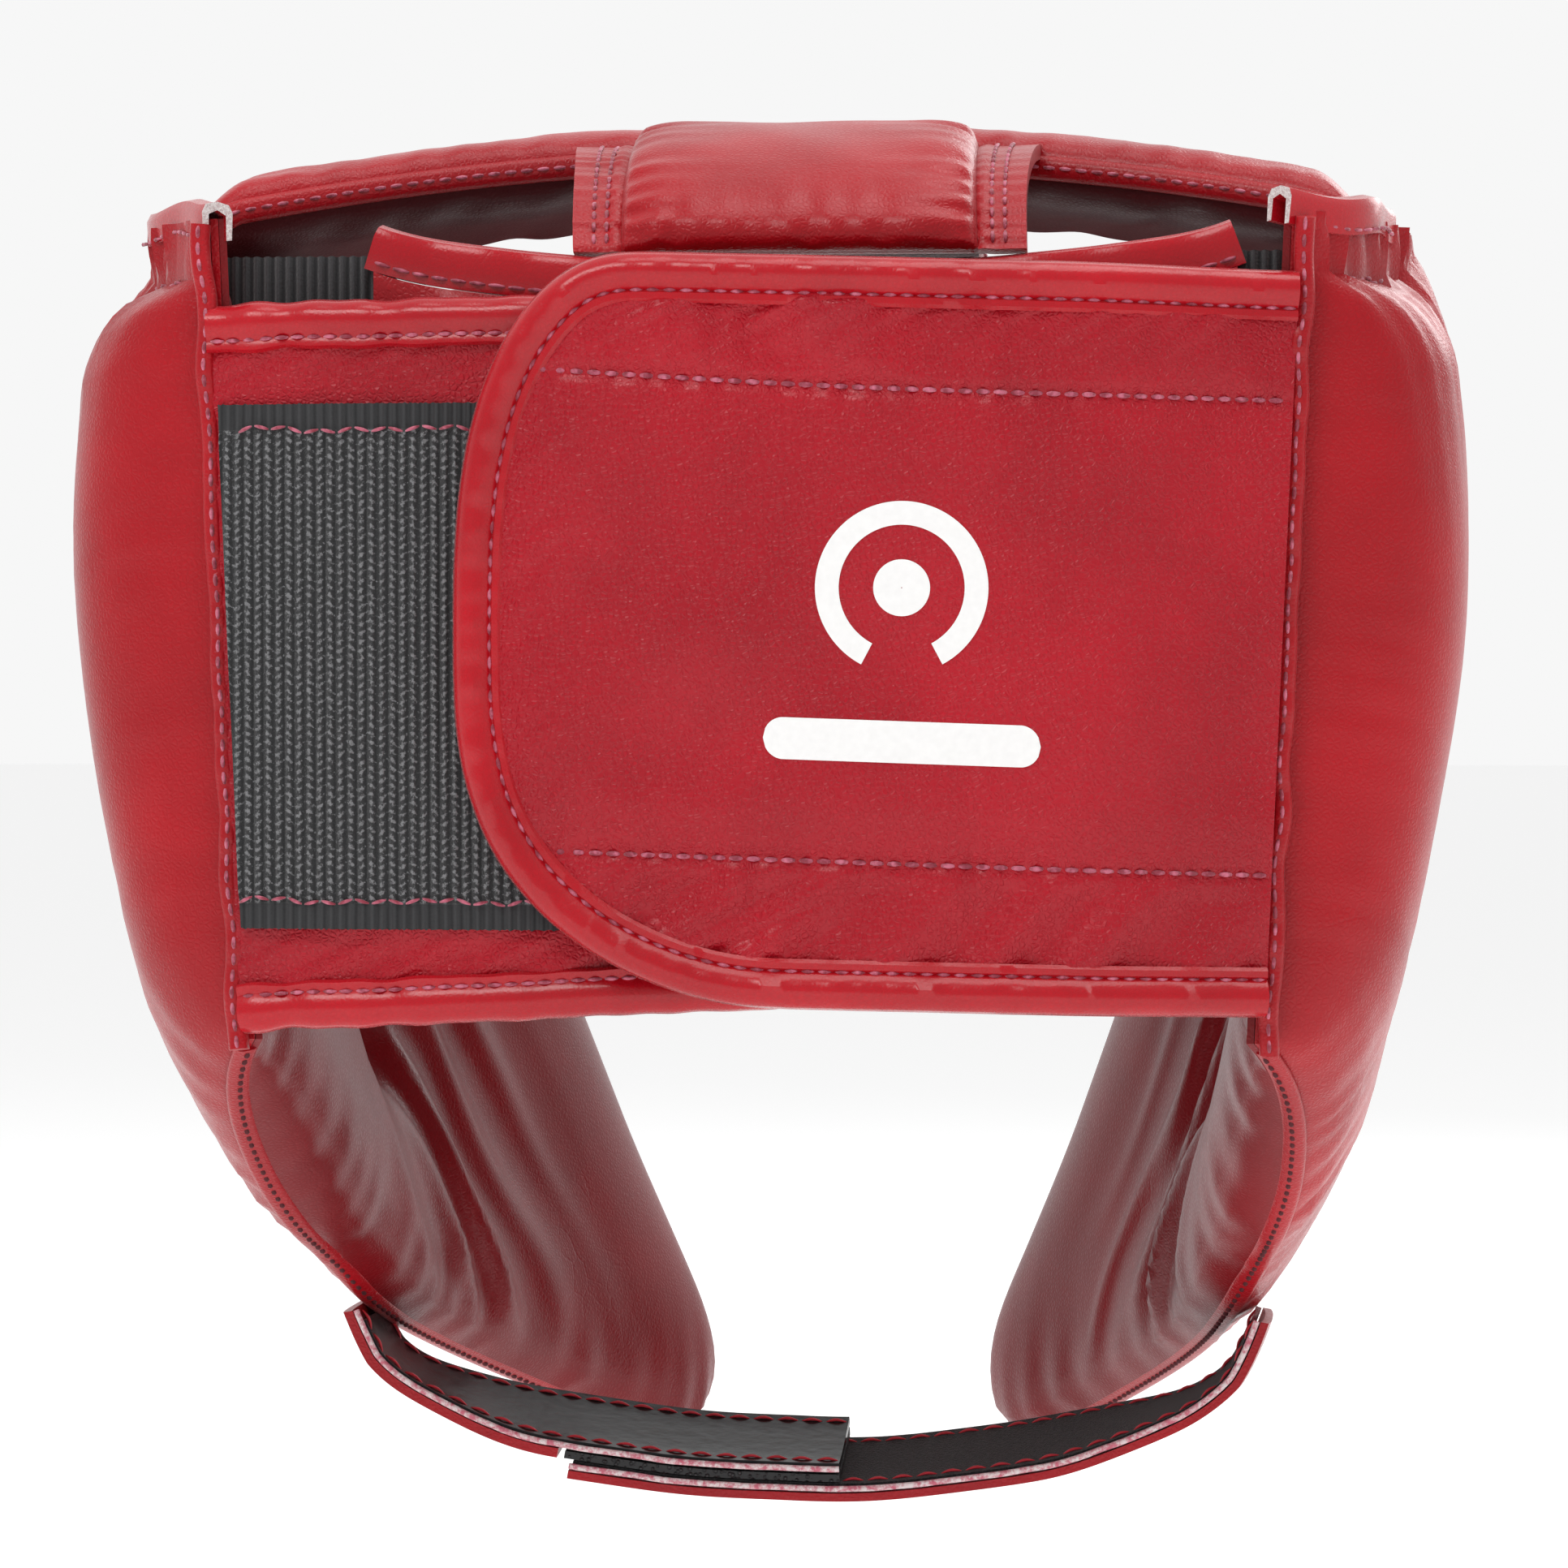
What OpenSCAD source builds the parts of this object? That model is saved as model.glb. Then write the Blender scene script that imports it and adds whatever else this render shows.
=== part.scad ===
// Boxing headgear, open-face competition pattern: puffed side pads, a forehead
// pad, a crown cross and a wide hook-and-loop closure across the back.
// Millimetres. +Z is up, the face looks along -Y and +X is the wearer's left.
// The origin is the middle of the space for the head.

/* [Head space] */
// Half width of the head space where it is widest
head_half_w = 80; // [77:0.5:83]
// Depth of the head space from the ear line to the forehead
head_front = 103; // [98:1:108]
// Height above the origin at which the head space is widest
widest_z = 35; // [30:1:40]
// Y of the line where the side walls start to bend towards the face
ear_line_y = -15; // [-18:1:-12]
// Y of the vertical seams that end the side pads at the back
rear_seam_y = 78; // [76:0.5:80]

/* [Side pads] */
// Thickness of a side pad above the ear
side_thick = 30; // [28:1:32]
// Thickness of a side pad at the cheek
cheek_thick = 25; // [24:0.5:27]
// Height of the top edge of the side pads
side_top_z = 86.5; // [85:0.5:87]
// Height of the flat gathered neck at the rear of the top edge
neck_h = 10; // [8:0.5:11]
// Height of the lower edge at the rear seam
rear_low_z = -38; // [-42:1:-36]
// Height of the lower edge at the jaw corner
jaw_z = -80; // [-84:1:-76]
// Height of the lower edge at the front of the cheek
cheek_low_z = -124; // [-126:1:-120]
// Half height of the ear opening
ear_half_h = 21; // [18:0.5:23]
// Half length of the ear opening
ear_half_l = 14.5; // [12:0.5:16]

/* [Forehead pad] */
// Thickness of the forehead pad
forehead_thick = 30; // [25:1:33]
// Height of the brow edge of the forehead pad
brow_z = 6; // [2:1:10]
// Height of the top edge of the forehead pad in the middle
forehead_top_z = 92; // [90:0.5:94]
// Angle from the ear line to the seam between forehead and side pads
temple_angle = 38; // [36:0.5:40]

/* [Crown] */
// Height of the seam of the crown band in the middle
crown_z = 99.5; // [99:0.5:102]
// Half length of the crown band from side to side
crown_half_l = 94; // [92:0.5:96]
// Thickness of the crown band
crown_thick = 13; // [10:0.5:14]
// Width of the padded rear crown pad
crown_pad_w = 54; // [48:1:58]
// Width of the flat stitched flange on each side of it
crown_flange_w = 9.5; // [8:0.5:11]
// Sideways shift of the rear crown pad, to the wearer's left
crown_shift = -4.5; // [-6:0.5:4]
// Width of the front crown strap
front_strap_w = 46; // [38:1:52]

/* [Rear closure] */
// Radius of the curve of the closure across the back
closure_radius = 600; // [500:10:900]
// Y of the outer face of the closed flap in the middle of the back
closure_y = 95.2; // [95:0.1:96]
// Reach of the free edge of the flap past the middle
flap_reach = 43; // [38:0.5:44]
// Width of the folded binding
binding_w = 7; // [6:0.25:7.5]
// Height of the hook and loop patches
patch_h = 72; // [66:1:74]

/* [Chin strap] */
// Width of the chin strap
strap_w = 25; // [20:1:26]
// Depth of the chin strap under the origin
strap_low_z = -116.5; // [-120:0.5:-115]
// Half distance between the two sewn ends
strap_half_l = 72; // [70:0.5:75]

/* [Hidden] */

LEATHER = [0.72, 0.1, 0.15];
BINDING = [0.78, 0.08, 0.13];
LINING = [0.3, 0.07, 0.09];
FOAM = [0.25, 0.25, 0.27];
TAPE = [0.13, 0.13, 0.14];
WEBBING = [0.08, 0.08, 0.09];

skin = 1.1;                 // thickness of a leather cover or lining
gap = 0.1;                  // clearance between a skin and the foam in it
clear = 0.4;                // clearance between sewn neighbours
edge_thick = 3.6;           // thickness of a pad where it is sewn flat
straight_len = rear_seam_y - ear_line_y;
bend_radius = 92;           // turns path length into an angle round the face
temple_clear = 2.5;         // angle left free at the temple seam

// ---- general shapes -------------------------------------------------------

function clamp01(t) = max(0, min(1, t));
function smooth(t) = let (c = clamp01(t)) c * c * (3 - 2 * c);
function mix(a, b, t) = a + (b - a) * t;
// Rises from 0 on a seam to 1 at the distance w from it, with a round shoulder.
function puff(d, w) = let (t = 1 - clamp01(d / w)) sqrt(max(0, 1 - pow(t, 2.2)));

// A closed slab between two grids of points, low and high. Cells inside hole,
// [first i, last i, first j, last j], are left open right through.
module slab(low, high, hole = [0, 0, 0, 0]) {
    nu = len(low) - 1;
    nv = len(low[0]) - 1;
    count = (nu + 1) * (nv + 1);
    points = concat([for (row = low) each row], [for (row = high) each row]);
    function id(l, i, j) = l * count + i * (nv + 1) + j;
    function open(i, j) = i >= hole[0] && i < hole[1] && j >= hole[2] && j < hole[3];
    function quad(a, b, c, d) = [[a, b, c], [a, c, d]];
    skins = [
        for (i = [0 : nu - 1]) for (j = [0 : nv - 1]) if (!open(i, j)) each concat(
            quad(id(1, i, j), id(1, i + 1, j), id(1, i + 1, j + 1), id(1, i, j + 1)),
            quad(id(0, i, j), id(0, i, j + 1), id(0, i + 1, j + 1), id(0, i + 1, j))
        )
    ];
    function wall(i, j, k, l) = quad(id(0, i, j), id(0, k, l), id(1, k, l), id(1, i, j));
    rim = concat(
        [for (i = [0 : nu - 1]) each wall(i, 0, i + 1, 0)],
        [for (i = [0 : nu - 1]) each wall(i + 1, nv, i, nv)],
        [for (j = [0 : nv - 1]) each wall(0, j + 1, 0, j)],
        [for (j = [0 : nv - 1]) each wall(nu, j, nu, j + 1)]
    );
    is_holed = hole[1] > hole[0];
    inner_rim = !is_holed ? [] : concat(
        [for (i = [hole[0] : hole[1] - 1]) each wall(i + 1, hole[2], i, hole[2])],
        [for (i = [hole[0] : hole[1] - 1]) each wall(i, hole[3], i + 1, hole[3])],
        [for (j = [hole[2] : hole[3] - 1]) each wall(hole[0], j, hole[0], j + 1)],
        [for (j = [hole[2] : hole[3] - 1]) each wall(hole[1], j + 1, hole[1], j)]
    );
    mi = floor(nu / 2);
    mj = floor(nv / 2);
    here = low[mi][mj];
    turned = cross(low[mi + 1][mj] - here, low[mi][mj + 1] - here) * (high[mi][mj] - here) > 0;
    faces = concat(skins, rim, inner_rim);
    polyhedron(points, turned ? [for (f = faces) [f[0], f[2], f[1]]] : faces, convexity = 6);
}

// The layers of a pad: a function point_at gives the point at (i, j) and at a
// depth measured from the lining side, and thick(i, j) the whole thickness.
module pad_layer(nu, nv, point_at, thick, layer, hole = [0, 0, 0, 0]) {
    function low_of(t) = layer == "lining" ? 0 : layer == "foam" ? skin + gap : t - skin;
    function high_of(t) = layer == "lining" ? skin : layer == "foam" ? t - skin - gap : t;
    function grid(pick_high) = [
        for (i = [0 : nu]) [
            for (j = [0 : nv]) let (t = thick(i, j)) point_at(i, j, pick_high ? high_of(t) : low_of(t))
        ]
    ];
    slab(grid(false), grid(true), hole);
}

// ---- the wall round the head ----------------------------------------------

function wall_half_w(z) = let (d = z - widest_z)
    head_half_w - (d > 0 ? 6 * pow(d / 50, 2) : 9 * pow(-d / 80, 2.1));
function wall_depth(z) = head_front - 10 * pow(max(0, z - 20) / 70, 2);
function wall_angle(p) = max(0, p - straight_len) / bend_radius * 180 / PI;
function path_of(angle) = straight_len + angle * bend_radius * PI / 180;

// The point of the wall at path length p from the rear seam, at height z and
// at the distance off outwards from the head.
function wall_point(p, z, off) = let (
    a = wall_angle(p),
    w = wall_half_w(z),
    d = wall_depth(z),
    n = [d * cos(a), -w * sin(a)] / norm([d * cos(a), w * sin(a)])
) [
    w * cos(a) + off * n.x,
    ear_line_y + straight_len - min(p, straight_len) - d * sin(a) + off * n.y,
    z
];

// ---- side pads ------------------------------------------------------------

side_nu = 20;
side_nv = 12;
ear_cells = [8, 11, 3, 6];
jaw_u = 0.34;
ear_blend_reach = 2.6;
rear_round = 26;
front_round = 28;
top_round = 15;
low_round = 26;
front_neck_h = 3;
cheek_corner = 10;
ear_round = 13;

function seam_x(z) = 78 + seam_lean * z;
function face_angle(z) = temple_angle + 29 * pow(max(0, (8 - z) / 126), 0.7);
function side_low(u) = u < jaw_u
    ? mix(rear_low_z, jaw_z, u / jaw_u)
    : mix(jaw_z, cheek_low_z, (u - jaw_u) / (1 - jaw_u)) + cheek_corner * pow(max(0, (u - 0.85) / 0.15), 3);
function side_front(v) = path_of(face_angle(mix(cheek_low_z, side_top_z, v)))
    - cheek_corner * pow(max(0, 1 - v / 0.12), 3);
function neck_at(p) = mix(neck_h, front_neck_h, smooth((p - 20) / 40));
function side_full(z) = mix(cheek_thick, side_thick, smooth((z + 45) / 90)) - 6 * smooth((-50 - z) / 50);

// How far seams stand out from the wall: on the rear seam line at the back and
// in the middle of the thickness everywhere else.
function side_seam_off(p, z) = let (
    rear = seam_x(z) - wall_half_w(z),
    body = 15 + 10 * smooth((z - 50) / 38) - 7 * smooth((-60 - z) / 50)
) mix(rear, body, 1 - exp(-p / 20));

// Grid place (i, j) as [u, v, ring], where ring is 1 on the rim of the ear
// opening and grows outwards, and the cells round it follow an oval.
function side_place(i, j) = let (
    ci = (ear_cells[0] + ear_cells[1]) / 2,
    cj = (ear_cells[2] + ear_cells[3]) / 2,
    hi = (ear_cells[1] - ear_cells[0]) / 2,
    hj = (ear_cells[3] - ear_cells[2]) / 2,
    a = (i - ci) / hi,
    b = (j - cj) / hj,
    m = max(abs(a), abs(b)),
    pull = clamp01((ear_blend_reach - m) / (ear_blend_reach - 1)),
    r = max(0.001, norm([a, b])),
    grow_u = ear_half_l / 12.4,
    grow_v = ear_half_h / 21.5,
    aa = mix(a, a / r * m * grow_u, pull),
    bb = mix(b, b / r * m * grow_v, pull)
) [(ci + aa * hi) / side_nu, (cj + bb * hj) / side_nv, m];

function side_pz(place) = let (v = clamp01(place[1])) [
    clamp01(place[0]) * side_front(v),
    mix(side_low(clamp01(place[0])), side_top_z, v)
];

function side_puff(i, j) = let (
    place = side_place(i, j),
    pz = side_pz(place),
    p = pz[0],
    z = pz[1]
) puff(p, rear_round)
    * puff(side_front(place[1]) - p, front_round)
    * puff(side_top_z - neck_at(p) - z, top_round)
    * puff(z - side_low(place[0]), low_round)
    * puff((place[2] - 1) * ear_half_l, ear_round);

function side_thick_at(i, j) = let (z = side_pz(side_place(i, j))[1])
    edge_thick + (side_full(z) - edge_thick) * side_puff(i, j);

function side_point(i, j, depth) = let (
    pz = side_pz(side_place(i, j)),
    off = side_seam_off(pz[0], pz[1]) * (1 - side_puff(i, j)) - edge_thick / 2
) wall_point(pz[0], pz[1], off + depth);

module side_layer(layer) {
    pad_layer(side_nu, side_nv,
        function (i, j, depth) side_point(i, j, depth),
        function (i, j) side_thick_at(i, j),
        layer, ear_cells);
}

module left_side_cover() {
    color(LEATHER) side_layer("cover");
}

module left_side_foam() {
    color(FOAM) side_layer("foam");
}

module left_side_lining() {
    color(LINING) side_layer("lining");
}

module right_side_cover() {
    mirror([1, 0, 0]) left_side_cover();
}

module right_side_foam() {
    mirror([1, 0, 0]) left_side_foam();
}

module right_side_lining() {
    mirror([1, 0, 0]) left_side_lining();
}

// The binding that finishes an ear opening: a flat ring inside its rim.
ear_rim_n = 24;
ear_rim_w = 2.6;

function ear_rim_point(k, inset, depth) = let (
    t = 360 * k / ear_rim_n,
    place = side_pz([
        ((ear_cells[0] + ear_cells[1]) / 2 + cos(t) * 1.5 * ear_half_l / 12.4) / side_nu,
        ((ear_cells[2] + ear_cells[3]) / 2 + sin(t) * 1.5 * ear_half_h / 21.5) / side_nv
    ]),
    centre = side_pz([
        (ear_cells[0] + ear_cells[1]) / 2 / side_nu,
        (ear_cells[2] + ear_cells[3]) / 2 / side_nv
    ]),
    shrink = 1 - inset / ear_half_l,
    p = mix(centre[0], place[0], shrink),
    z = mix(centre[1], place[1], shrink)
) wall_point(p, z, side_seam_off(p, z) + depth);

module ear_rim() {
    function ring(inset, depth) = [for (k = [0 : ear_rim_n - 1]) ear_rim_point(k, inset, depth)];
    half = edge_thick / 2;
    points = concat(
        ring(1.2, half), ring(1.2 + ear_rim_w, half),
        ring(1.2 + ear_rim_w, -half), ring(1.2, -half)
    );
    faces = [
        for (s = [0 : 3]) for (k = [0 : ear_rim_n - 1]) let (
            a = s * ear_rim_n + k,
            b = s * ear_rim_n + (k + 1) % ear_rim_n,
            c = (s + 1) % 4 * ear_rim_n + (k + 1) % ear_rim_n,
            d = (s + 1) % 4 * ear_rim_n + k
        ) each [[a, b, c], [a, c, d]]
    ];
    polyhedron(points, faces, convexity = 4);
}

module left_ear_rim() {
    color(BINDING) ear_rim();
}

module right_ear_rim() {
    mirror([1, 0, 0]) left_ear_rim();
}

// The folded tape on the gathered neck, from the rear seam to the crown band.
neck_binding_len = 27;
neck_binding_h = 2.4;

module neck_binding() {
    n = 6;
    function row(lift, k) = [
        for (s = [-1, 1]) let (p = neck_binding_len * k / n + 0.5)
            wall_point(p, side_top_z, side_seam_off(p, side_top_z) + s * 3) + [0, 0, lift]
    ];
    slab(
        [for (k = [0 : n]) row(clear, n - k)],
        [for (k = [0 : n]) row(clear + neck_binding_h, n - k)]
    );
}

module left_neck_binding() {
    color(BINDING) neck_binding();
}

module right_neck_binding() {
    mirror([1, 0, 0]) left_neck_binding();
}

// The flat stitched flange where a side pad and the closure are sewn together.
seam_lean = 0.0446;

module rear_seam() {
    translate([seam_x(0), rear_seam_y + clear, 0]) rotate([0, atan(seam_lean), 0])
        translate([0.3, 0, rear_low_z]) cube([2.8, 3.4, side_top_z - rear_low_z]);
}

module left_rear_seam() {
    color(BINDING) rear_seam();
}

module right_rear_seam() {
    mirror([1, 0, 0]) left_rear_seam();
}

// ---- forehead pad ---------------------------------------------------------

forehead_nu = 18;
forehead_nv = 9;

function forehead_angle(i) = mix(temple_angle + temple_clear, 180 - temple_angle - temple_clear, i / forehead_nu);
function forehead_middle(i) = sin(180 * i / forehead_nu);
function forehead_z(i, j) = mix(
    brow_z + 3 - 3 * forehead_middle(i),
    mix(side_top_z, forehead_top_z, forehead_middle(i)),
    j / forehead_nv
);

// The wall carried on past the middle of the face to the wearer's right.
function face_point(angle, z, off) = angle <= 90
    ? wall_point(path_of(angle), z, off)
    : let (q = wall_point(path_of(180 - angle), z, off)) [-q.x, q.y, q.z];

function forehead_puff(i, j) = let (
    from_side = (forehead_angle(min(i, forehead_nu - i)) - temple_angle) * PI / 180 * head_front,
    z = forehead_z(i, j)
) puff(from_side, 30)
    * puff(z - forehead_z(i, 0), 24)
    * puff(forehead_z(i, forehead_nv) - z, 26);

function forehead_off(i, j) = mix(
    15 + 10 * smooth((forehead_z(i, j) - 50) / 38), 12, forehead_middle(i)
);

module forehead_layer(layer) {
    pad_layer(forehead_nu, forehead_nv,
        function (i, j, depth) face_point(
            forehead_angle(i), forehead_z(i, j),
            forehead_off(i, j) * (1 - forehead_puff(i, j)) - edge_thick / 2 + depth
        ),
        function (i, j) edge_thick + (forehead_thick - edge_thick) * forehead_puff(i, j),
        layer);
}

module forehead_cover() {
    color(LEATHER) forehead_layer("cover");
}

module forehead_foam() {
    color(FOAM) forehead_layer("foam");
}

module forehead_lining() {
    color(LINING) forehead_layer("lining");
}

// ---- crown band, side to side ---------------------------------------------

band_nu = 22;
band_nv = 7;

function band_x(i) = mix(-crown_half_l, crown_half_l, i / band_nu);
function band_z(x) = crown_z - 12.5 * pow(x / 99, 2);
function band_rear(x) = 28 + 20 * pow(x / 99, 2);
function band_front(x) = -30 + 18 * pow(x / 99, 2);
function band_y(i, j) = let (x = band_x(i)) mix(band_front(x), band_rear(x), j / band_nv);
function band_puff(i, j) = let (x = band_x(i), y = band_y(i, j))
    puff(crown_half_l - abs(x), 14) * puff(y - band_front(x), 14) * puff(band_rear(x) - y, 14);

module band_layer(layer) {
    pad_layer(band_nu, band_nv,
        function (i, j, depth) [
            band_x(i), band_y(i, j),
            band_z(band_x(i)) - edge_thick / 2 - (crown_thick / 2 - edge_thick / 2) * band_puff(i, j) + depth
        ],
        function (i, j) edge_thick + (crown_thick - edge_thick) * band_puff(i, j),
        layer);
}

module crown_band_cover() {
    color(LEATHER) band_layer("cover");
}

module crown_band_foam() {
    color(FOAM) band_layer("foam");
}

module crown_band_lining() {
    color(LINING) band_layer("lining");
}

// ---- crown pad, from the band to the rear panel ----------------------------

crown_pad_nu = 8;
crown_pad_nv = 9;
crown_pad_thick = 12;
crown_top = [band_rear(abs(crown_shift) + crown_pad_w / 2 + crown_flange_w) + 1.2, crown_z];
crown_foot = [rear_seam_y - 5, 81];

// The centre line of the rear crown as [y, z, angle of its outward normal].
function crown_arc(t) = let (a = 8 + 66 * t) [
    mix(crown_top[0], crown_foot[0], (sin(a) - sin(8)) / (sin(74) - sin(8))),
    mix(crown_top[1], crown_foot[1], (cos(8) - cos(a)) / (cos(8) - cos(74))),
    a
];
function crown_arc_point(x, t, off) = let (c = crown_arc(t))
    [x + crown_shift, c[0] + off * sin(c[2]), c[1] + off * cos(c[2])];

function crown_pad_x(i) = mix(-crown_pad_w / 2, crown_pad_w / 2, i / crown_pad_nu);
function crown_pad_puff(i, j) =
    puff(crown_pad_w / 2 - abs(crown_pad_x(i)), 9)
    * puff(54 * j / crown_pad_nv, 8)
    * puff(54 * (1 - j / crown_pad_nv), 10);

module crown_pad_layer(layer) {
    pad_layer(crown_pad_nu, crown_pad_nv,
        function (i, j, depth) crown_arc_point(
            crown_pad_x(i), j / crown_pad_nv, -edge_thick / 2 - 4.5 * crown_pad_puff(i, j) + depth
        ),
        function (i, j) edge_thick + (crown_pad_thick - edge_thick) * crown_pad_puff(i, j),
        layer);
}

module crown_pad_cover() {
    color(LEATHER) crown_pad_layer("cover");
}

module crown_pad_foam() {
    color(FOAM) crown_pad_layer("foam");
}

module crown_pad_lining() {
    color(LINING) crown_pad_layer("lining");
}

module crown_flange(edges) {
    n = 9;
    function row(k, off) = [for (x = edges) crown_arc_point(x, k / n, off)];
    slab(
        [for (k = [0 : n]) row(n - k, -1.1)],
        [for (k = [0 : n]) row(n - k, 1.1)]
    );
}

crown_flange_near = crown_pad_w / 2 + clear;

module crown_flange_left() {
    color(LEATHER) crown_flange([crown_flange_near, crown_flange_near + crown_flange_w]);
}

module crown_flange_right() {
    color(LEATHER) crown_flange([-crown_flange_near - crown_flange_w, -crown_flange_near]);
}

// ---- front crown strap, from the band to the forehead pad -------------------

front_strap_nu = 6;
front_strap_nv = 8;
front_strap_thick = 9;
front_y = [band_front(0) - 0.8, ear_line_y - wall_depth(forehead_top_z) - 12];
front_z = [crown_z, forehead_top_z + 2.6];

function front_strap_x(i) = mix(-front_strap_w / 2, front_strap_w / 2, i / front_strap_nu);
function front_strap_puff(i, j) =
    puff(front_strap_w / 2 - abs(front_strap_x(i)), 8)
    * puff(75 * j / front_strap_nv, 9)
    * puff(75 * (1 - j / front_strap_nv), 9);

module front_strap_layer(layer) {
    pad_layer(front_strap_nu, front_strap_nv,
        function (i, j, depth) let (t = 1 - j / front_strap_nv) [
            front_strap_x(i),
            mix(front_y[0], front_y[1], t),
            mix(front_z[0], front_z[1], t * t) - edge_thick / 2 - 2 * front_strap_puff(i, j) + depth
        ],
        function (i, j) edge_thick + (front_strap_thick - edge_thick) * front_strap_puff(i, j),
        layer);
}

module front_strap_cover() {
    color(LEATHER) front_strap_layer("cover");
}

module front_strap_foam() {
    color(FOAM) front_strap_layer("foam");
}

module front_strap_lining() {
    color(LINING) front_strap_layer("lining");
}

// ---- inner rear panel, hung on two elastics ---------------------------------

rear_nu = 12;
rear_nv = 8;
rear_thick = 9;
rear_ends = [-71, 54];
rear_mid = (rear_ends[0] + rear_ends[1]) / 2;
rear_half = (rear_ends[1] - rear_ends[0]) / 2;
rear_bottom_z = -20;
rear_binding_h = 7;

function rear_x(i) = mix(rear_ends[0], rear_ends[1], i / rear_nu);
function rear_top(x) = 71 + 5 * pow(abs(x - rear_mid) / rear_half, 3);
function rear_y(x) = rear_seam_y - 1.8 - 3 * pow(x / 80, 2);
function rear_z(i, j) = mix(rear_bottom_z, rear_top(rear_x(i)), j / rear_nv);
function rear_puff(i, j) = let (x = rear_x(i), z = rear_z(i, j))
    puff(rear_half - abs(x - rear_mid), 16)
    * puff(z - rear_bottom_z, 16)
    * puff(rear_top(x) - z, 16);

module rear_layer(layer) {
    mirror([0, 1, 0]) pad_layer(rear_nu, rear_nv,
        function (i, j, depth) let (x = rear_x(i)) [
            x, -(rear_y(x) - 2 - (rear_thick - edge_thick) * rear_puff(i, j) * 0.8 - edge_thick / 2 + depth),
            rear_z(i, j)
        ],
        function (i, j) edge_thick + (rear_thick - edge_thick) * rear_puff(i, j),
        layer);
}

module rear_panel_cover() {
    color(LEATHER) rear_layer("cover");
}

module rear_panel_foam() {
    color(FOAM) rear_layer("foam");
}

module rear_panel_lining() {
    color(LINING) rear_layer("lining");
}

// A flat strip across the rear panel, between the heights low(x) and high(x).
module rear_strip(low, high) {
    function row(i, y_off) = let (x = rear_x(i)) [
        [x, -(rear_y(x) - 2 + y_off), low(x)],
        [x, -(rear_y(x) - 2 + y_off), high(x)]
    ];
    mirror([0, 1, 0]) slab(
        [for (i = [0 : rear_nu]) row(i, -2.2)],
        [for (i = [0 : rear_nu]) row(i, 2.2)]
    );
}

module rear_panel_top_binding() {
    color(BINDING) rear_strip(
        function (x) rear_top(x) + clear,
        function (x) rear_top(x) + clear + rear_binding_h
    );
}

module rear_panel_bottom_binding() {
    color(BINDING) rear_strip(
        function (x) rear_bottom_z - clear - rear_binding_h,
        function (x) rear_bottom_z - clear
    );
}

elastic_low_z = 30;
elastic_high_z = 79;
elastic_thick = 1.6;

// A ribbed elastic from the rear panel to the seam of a side pad.
module elastic(from_x, to_x) {
    color(WEBBING) translate([from_x, rear_y(75) - 3, elastic_low_z])
        cube([to_x - from_x, elastic_thick, elastic_high_z - elastic_low_z]);
}

module elastic_left() {
    elastic(rear_ends[1] + clear, seam_x(elastic_low_z) - 2.4);
}

module elastic_right() {
    elastic(2.4 - seam_x(elastic_low_z), rear_ends[0] - clear);
}

// ---- closure: base panel and flap -------------------------------------------

base_thick = 2.4;
tape_thick = 1.6;
layer_gap = 0.3;
closure_fn = 180;
loop_near = base_thick + layer_gap;
hook_near = loop_near + tape_thick + layer_gap;
flap_lining_near = hook_near + tape_thick + layer_gap;
flap_near = flap_lining_near + 1.2 + layer_gap;
flap_thick = 1.8;
binding_over = 0.7;
closure_back = closure_y - flap_near - flap_thick - binding_over;
seam_inset = 0.2;

// The part of the outline's prism that lies in the closure's curve, between
// two depths counted outwards from the face of the base panel.
module closure_layer(outline, near, thick) {
    centre = closure_back - closure_radius;
    intersection() {
        translate([0, closure_back + 30, 0]) rotate([90, 0, 0]) linear_extrude(60) polygon(outline);
        translate([0, centre, -60]) difference() {
            cylinder(r = closure_radius + near + thick, h = 160, $fn = closure_fn);
            translate([0, 0, -1]) cylinder(r = closure_radius + near, h = 162, $fn = closure_fn);
        }
    }
}

function base_top_z(x) = 73 + 0.016 * (80 - x);
function base_bottom_z(x) = -36.6 + 0.052 * (80 - x);
base_free_x = -22;
base_seam = function (z) seam_x(z) - seam_inset;
loop_range = [-21, 58];

// A strip of the base panel from its seam to its free end, between two lines.
function base_outline(low, high, end_x) = [
    [base_seam(low(80)), low(80)],
    [end_x, low(end_x)],
    [end_x, high(end_x)],
    [base_seam(high(80)), high(80)]
];

module base_panel() {
    color(LEATHER) closure_layer(base_outline(
        function (x) base_bottom_z(x) + binding_w + clear,
        function (x) base_top_z(x) - binding_w - clear,
        base_free_x
    ), 0, base_thick);
}

module base_top_binding() {
    color(BINDING) closure_layer(base_outline(
        function (x) base_top_z(x) - binding_w, function (x) base_top_z(x), base_free_x
    ), -binding_over, base_thick + 2 * binding_over);
}

module base_bottom_binding() {
    color(BINDING) closure_layer(base_outline(
        function (x) base_bottom_z(x), function (x) base_bottom_z(x) + binding_w, base_free_x
    ), -binding_over, base_thick + 2 * binding_over);
}

module loop_patch() {
    color(TAPE) closure_layer(base_outline(
        function (x) loop_range[0], function (x) loop_range[1], base_free_x + 2
    ), loop_near, tape_thick);
}

flap_mid_z = 22;
flap_up = 57.8;
flap_down = 54;
flap_seam = function (z) seam_inset - seam_x(z);
flap_steps = 14;

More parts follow.
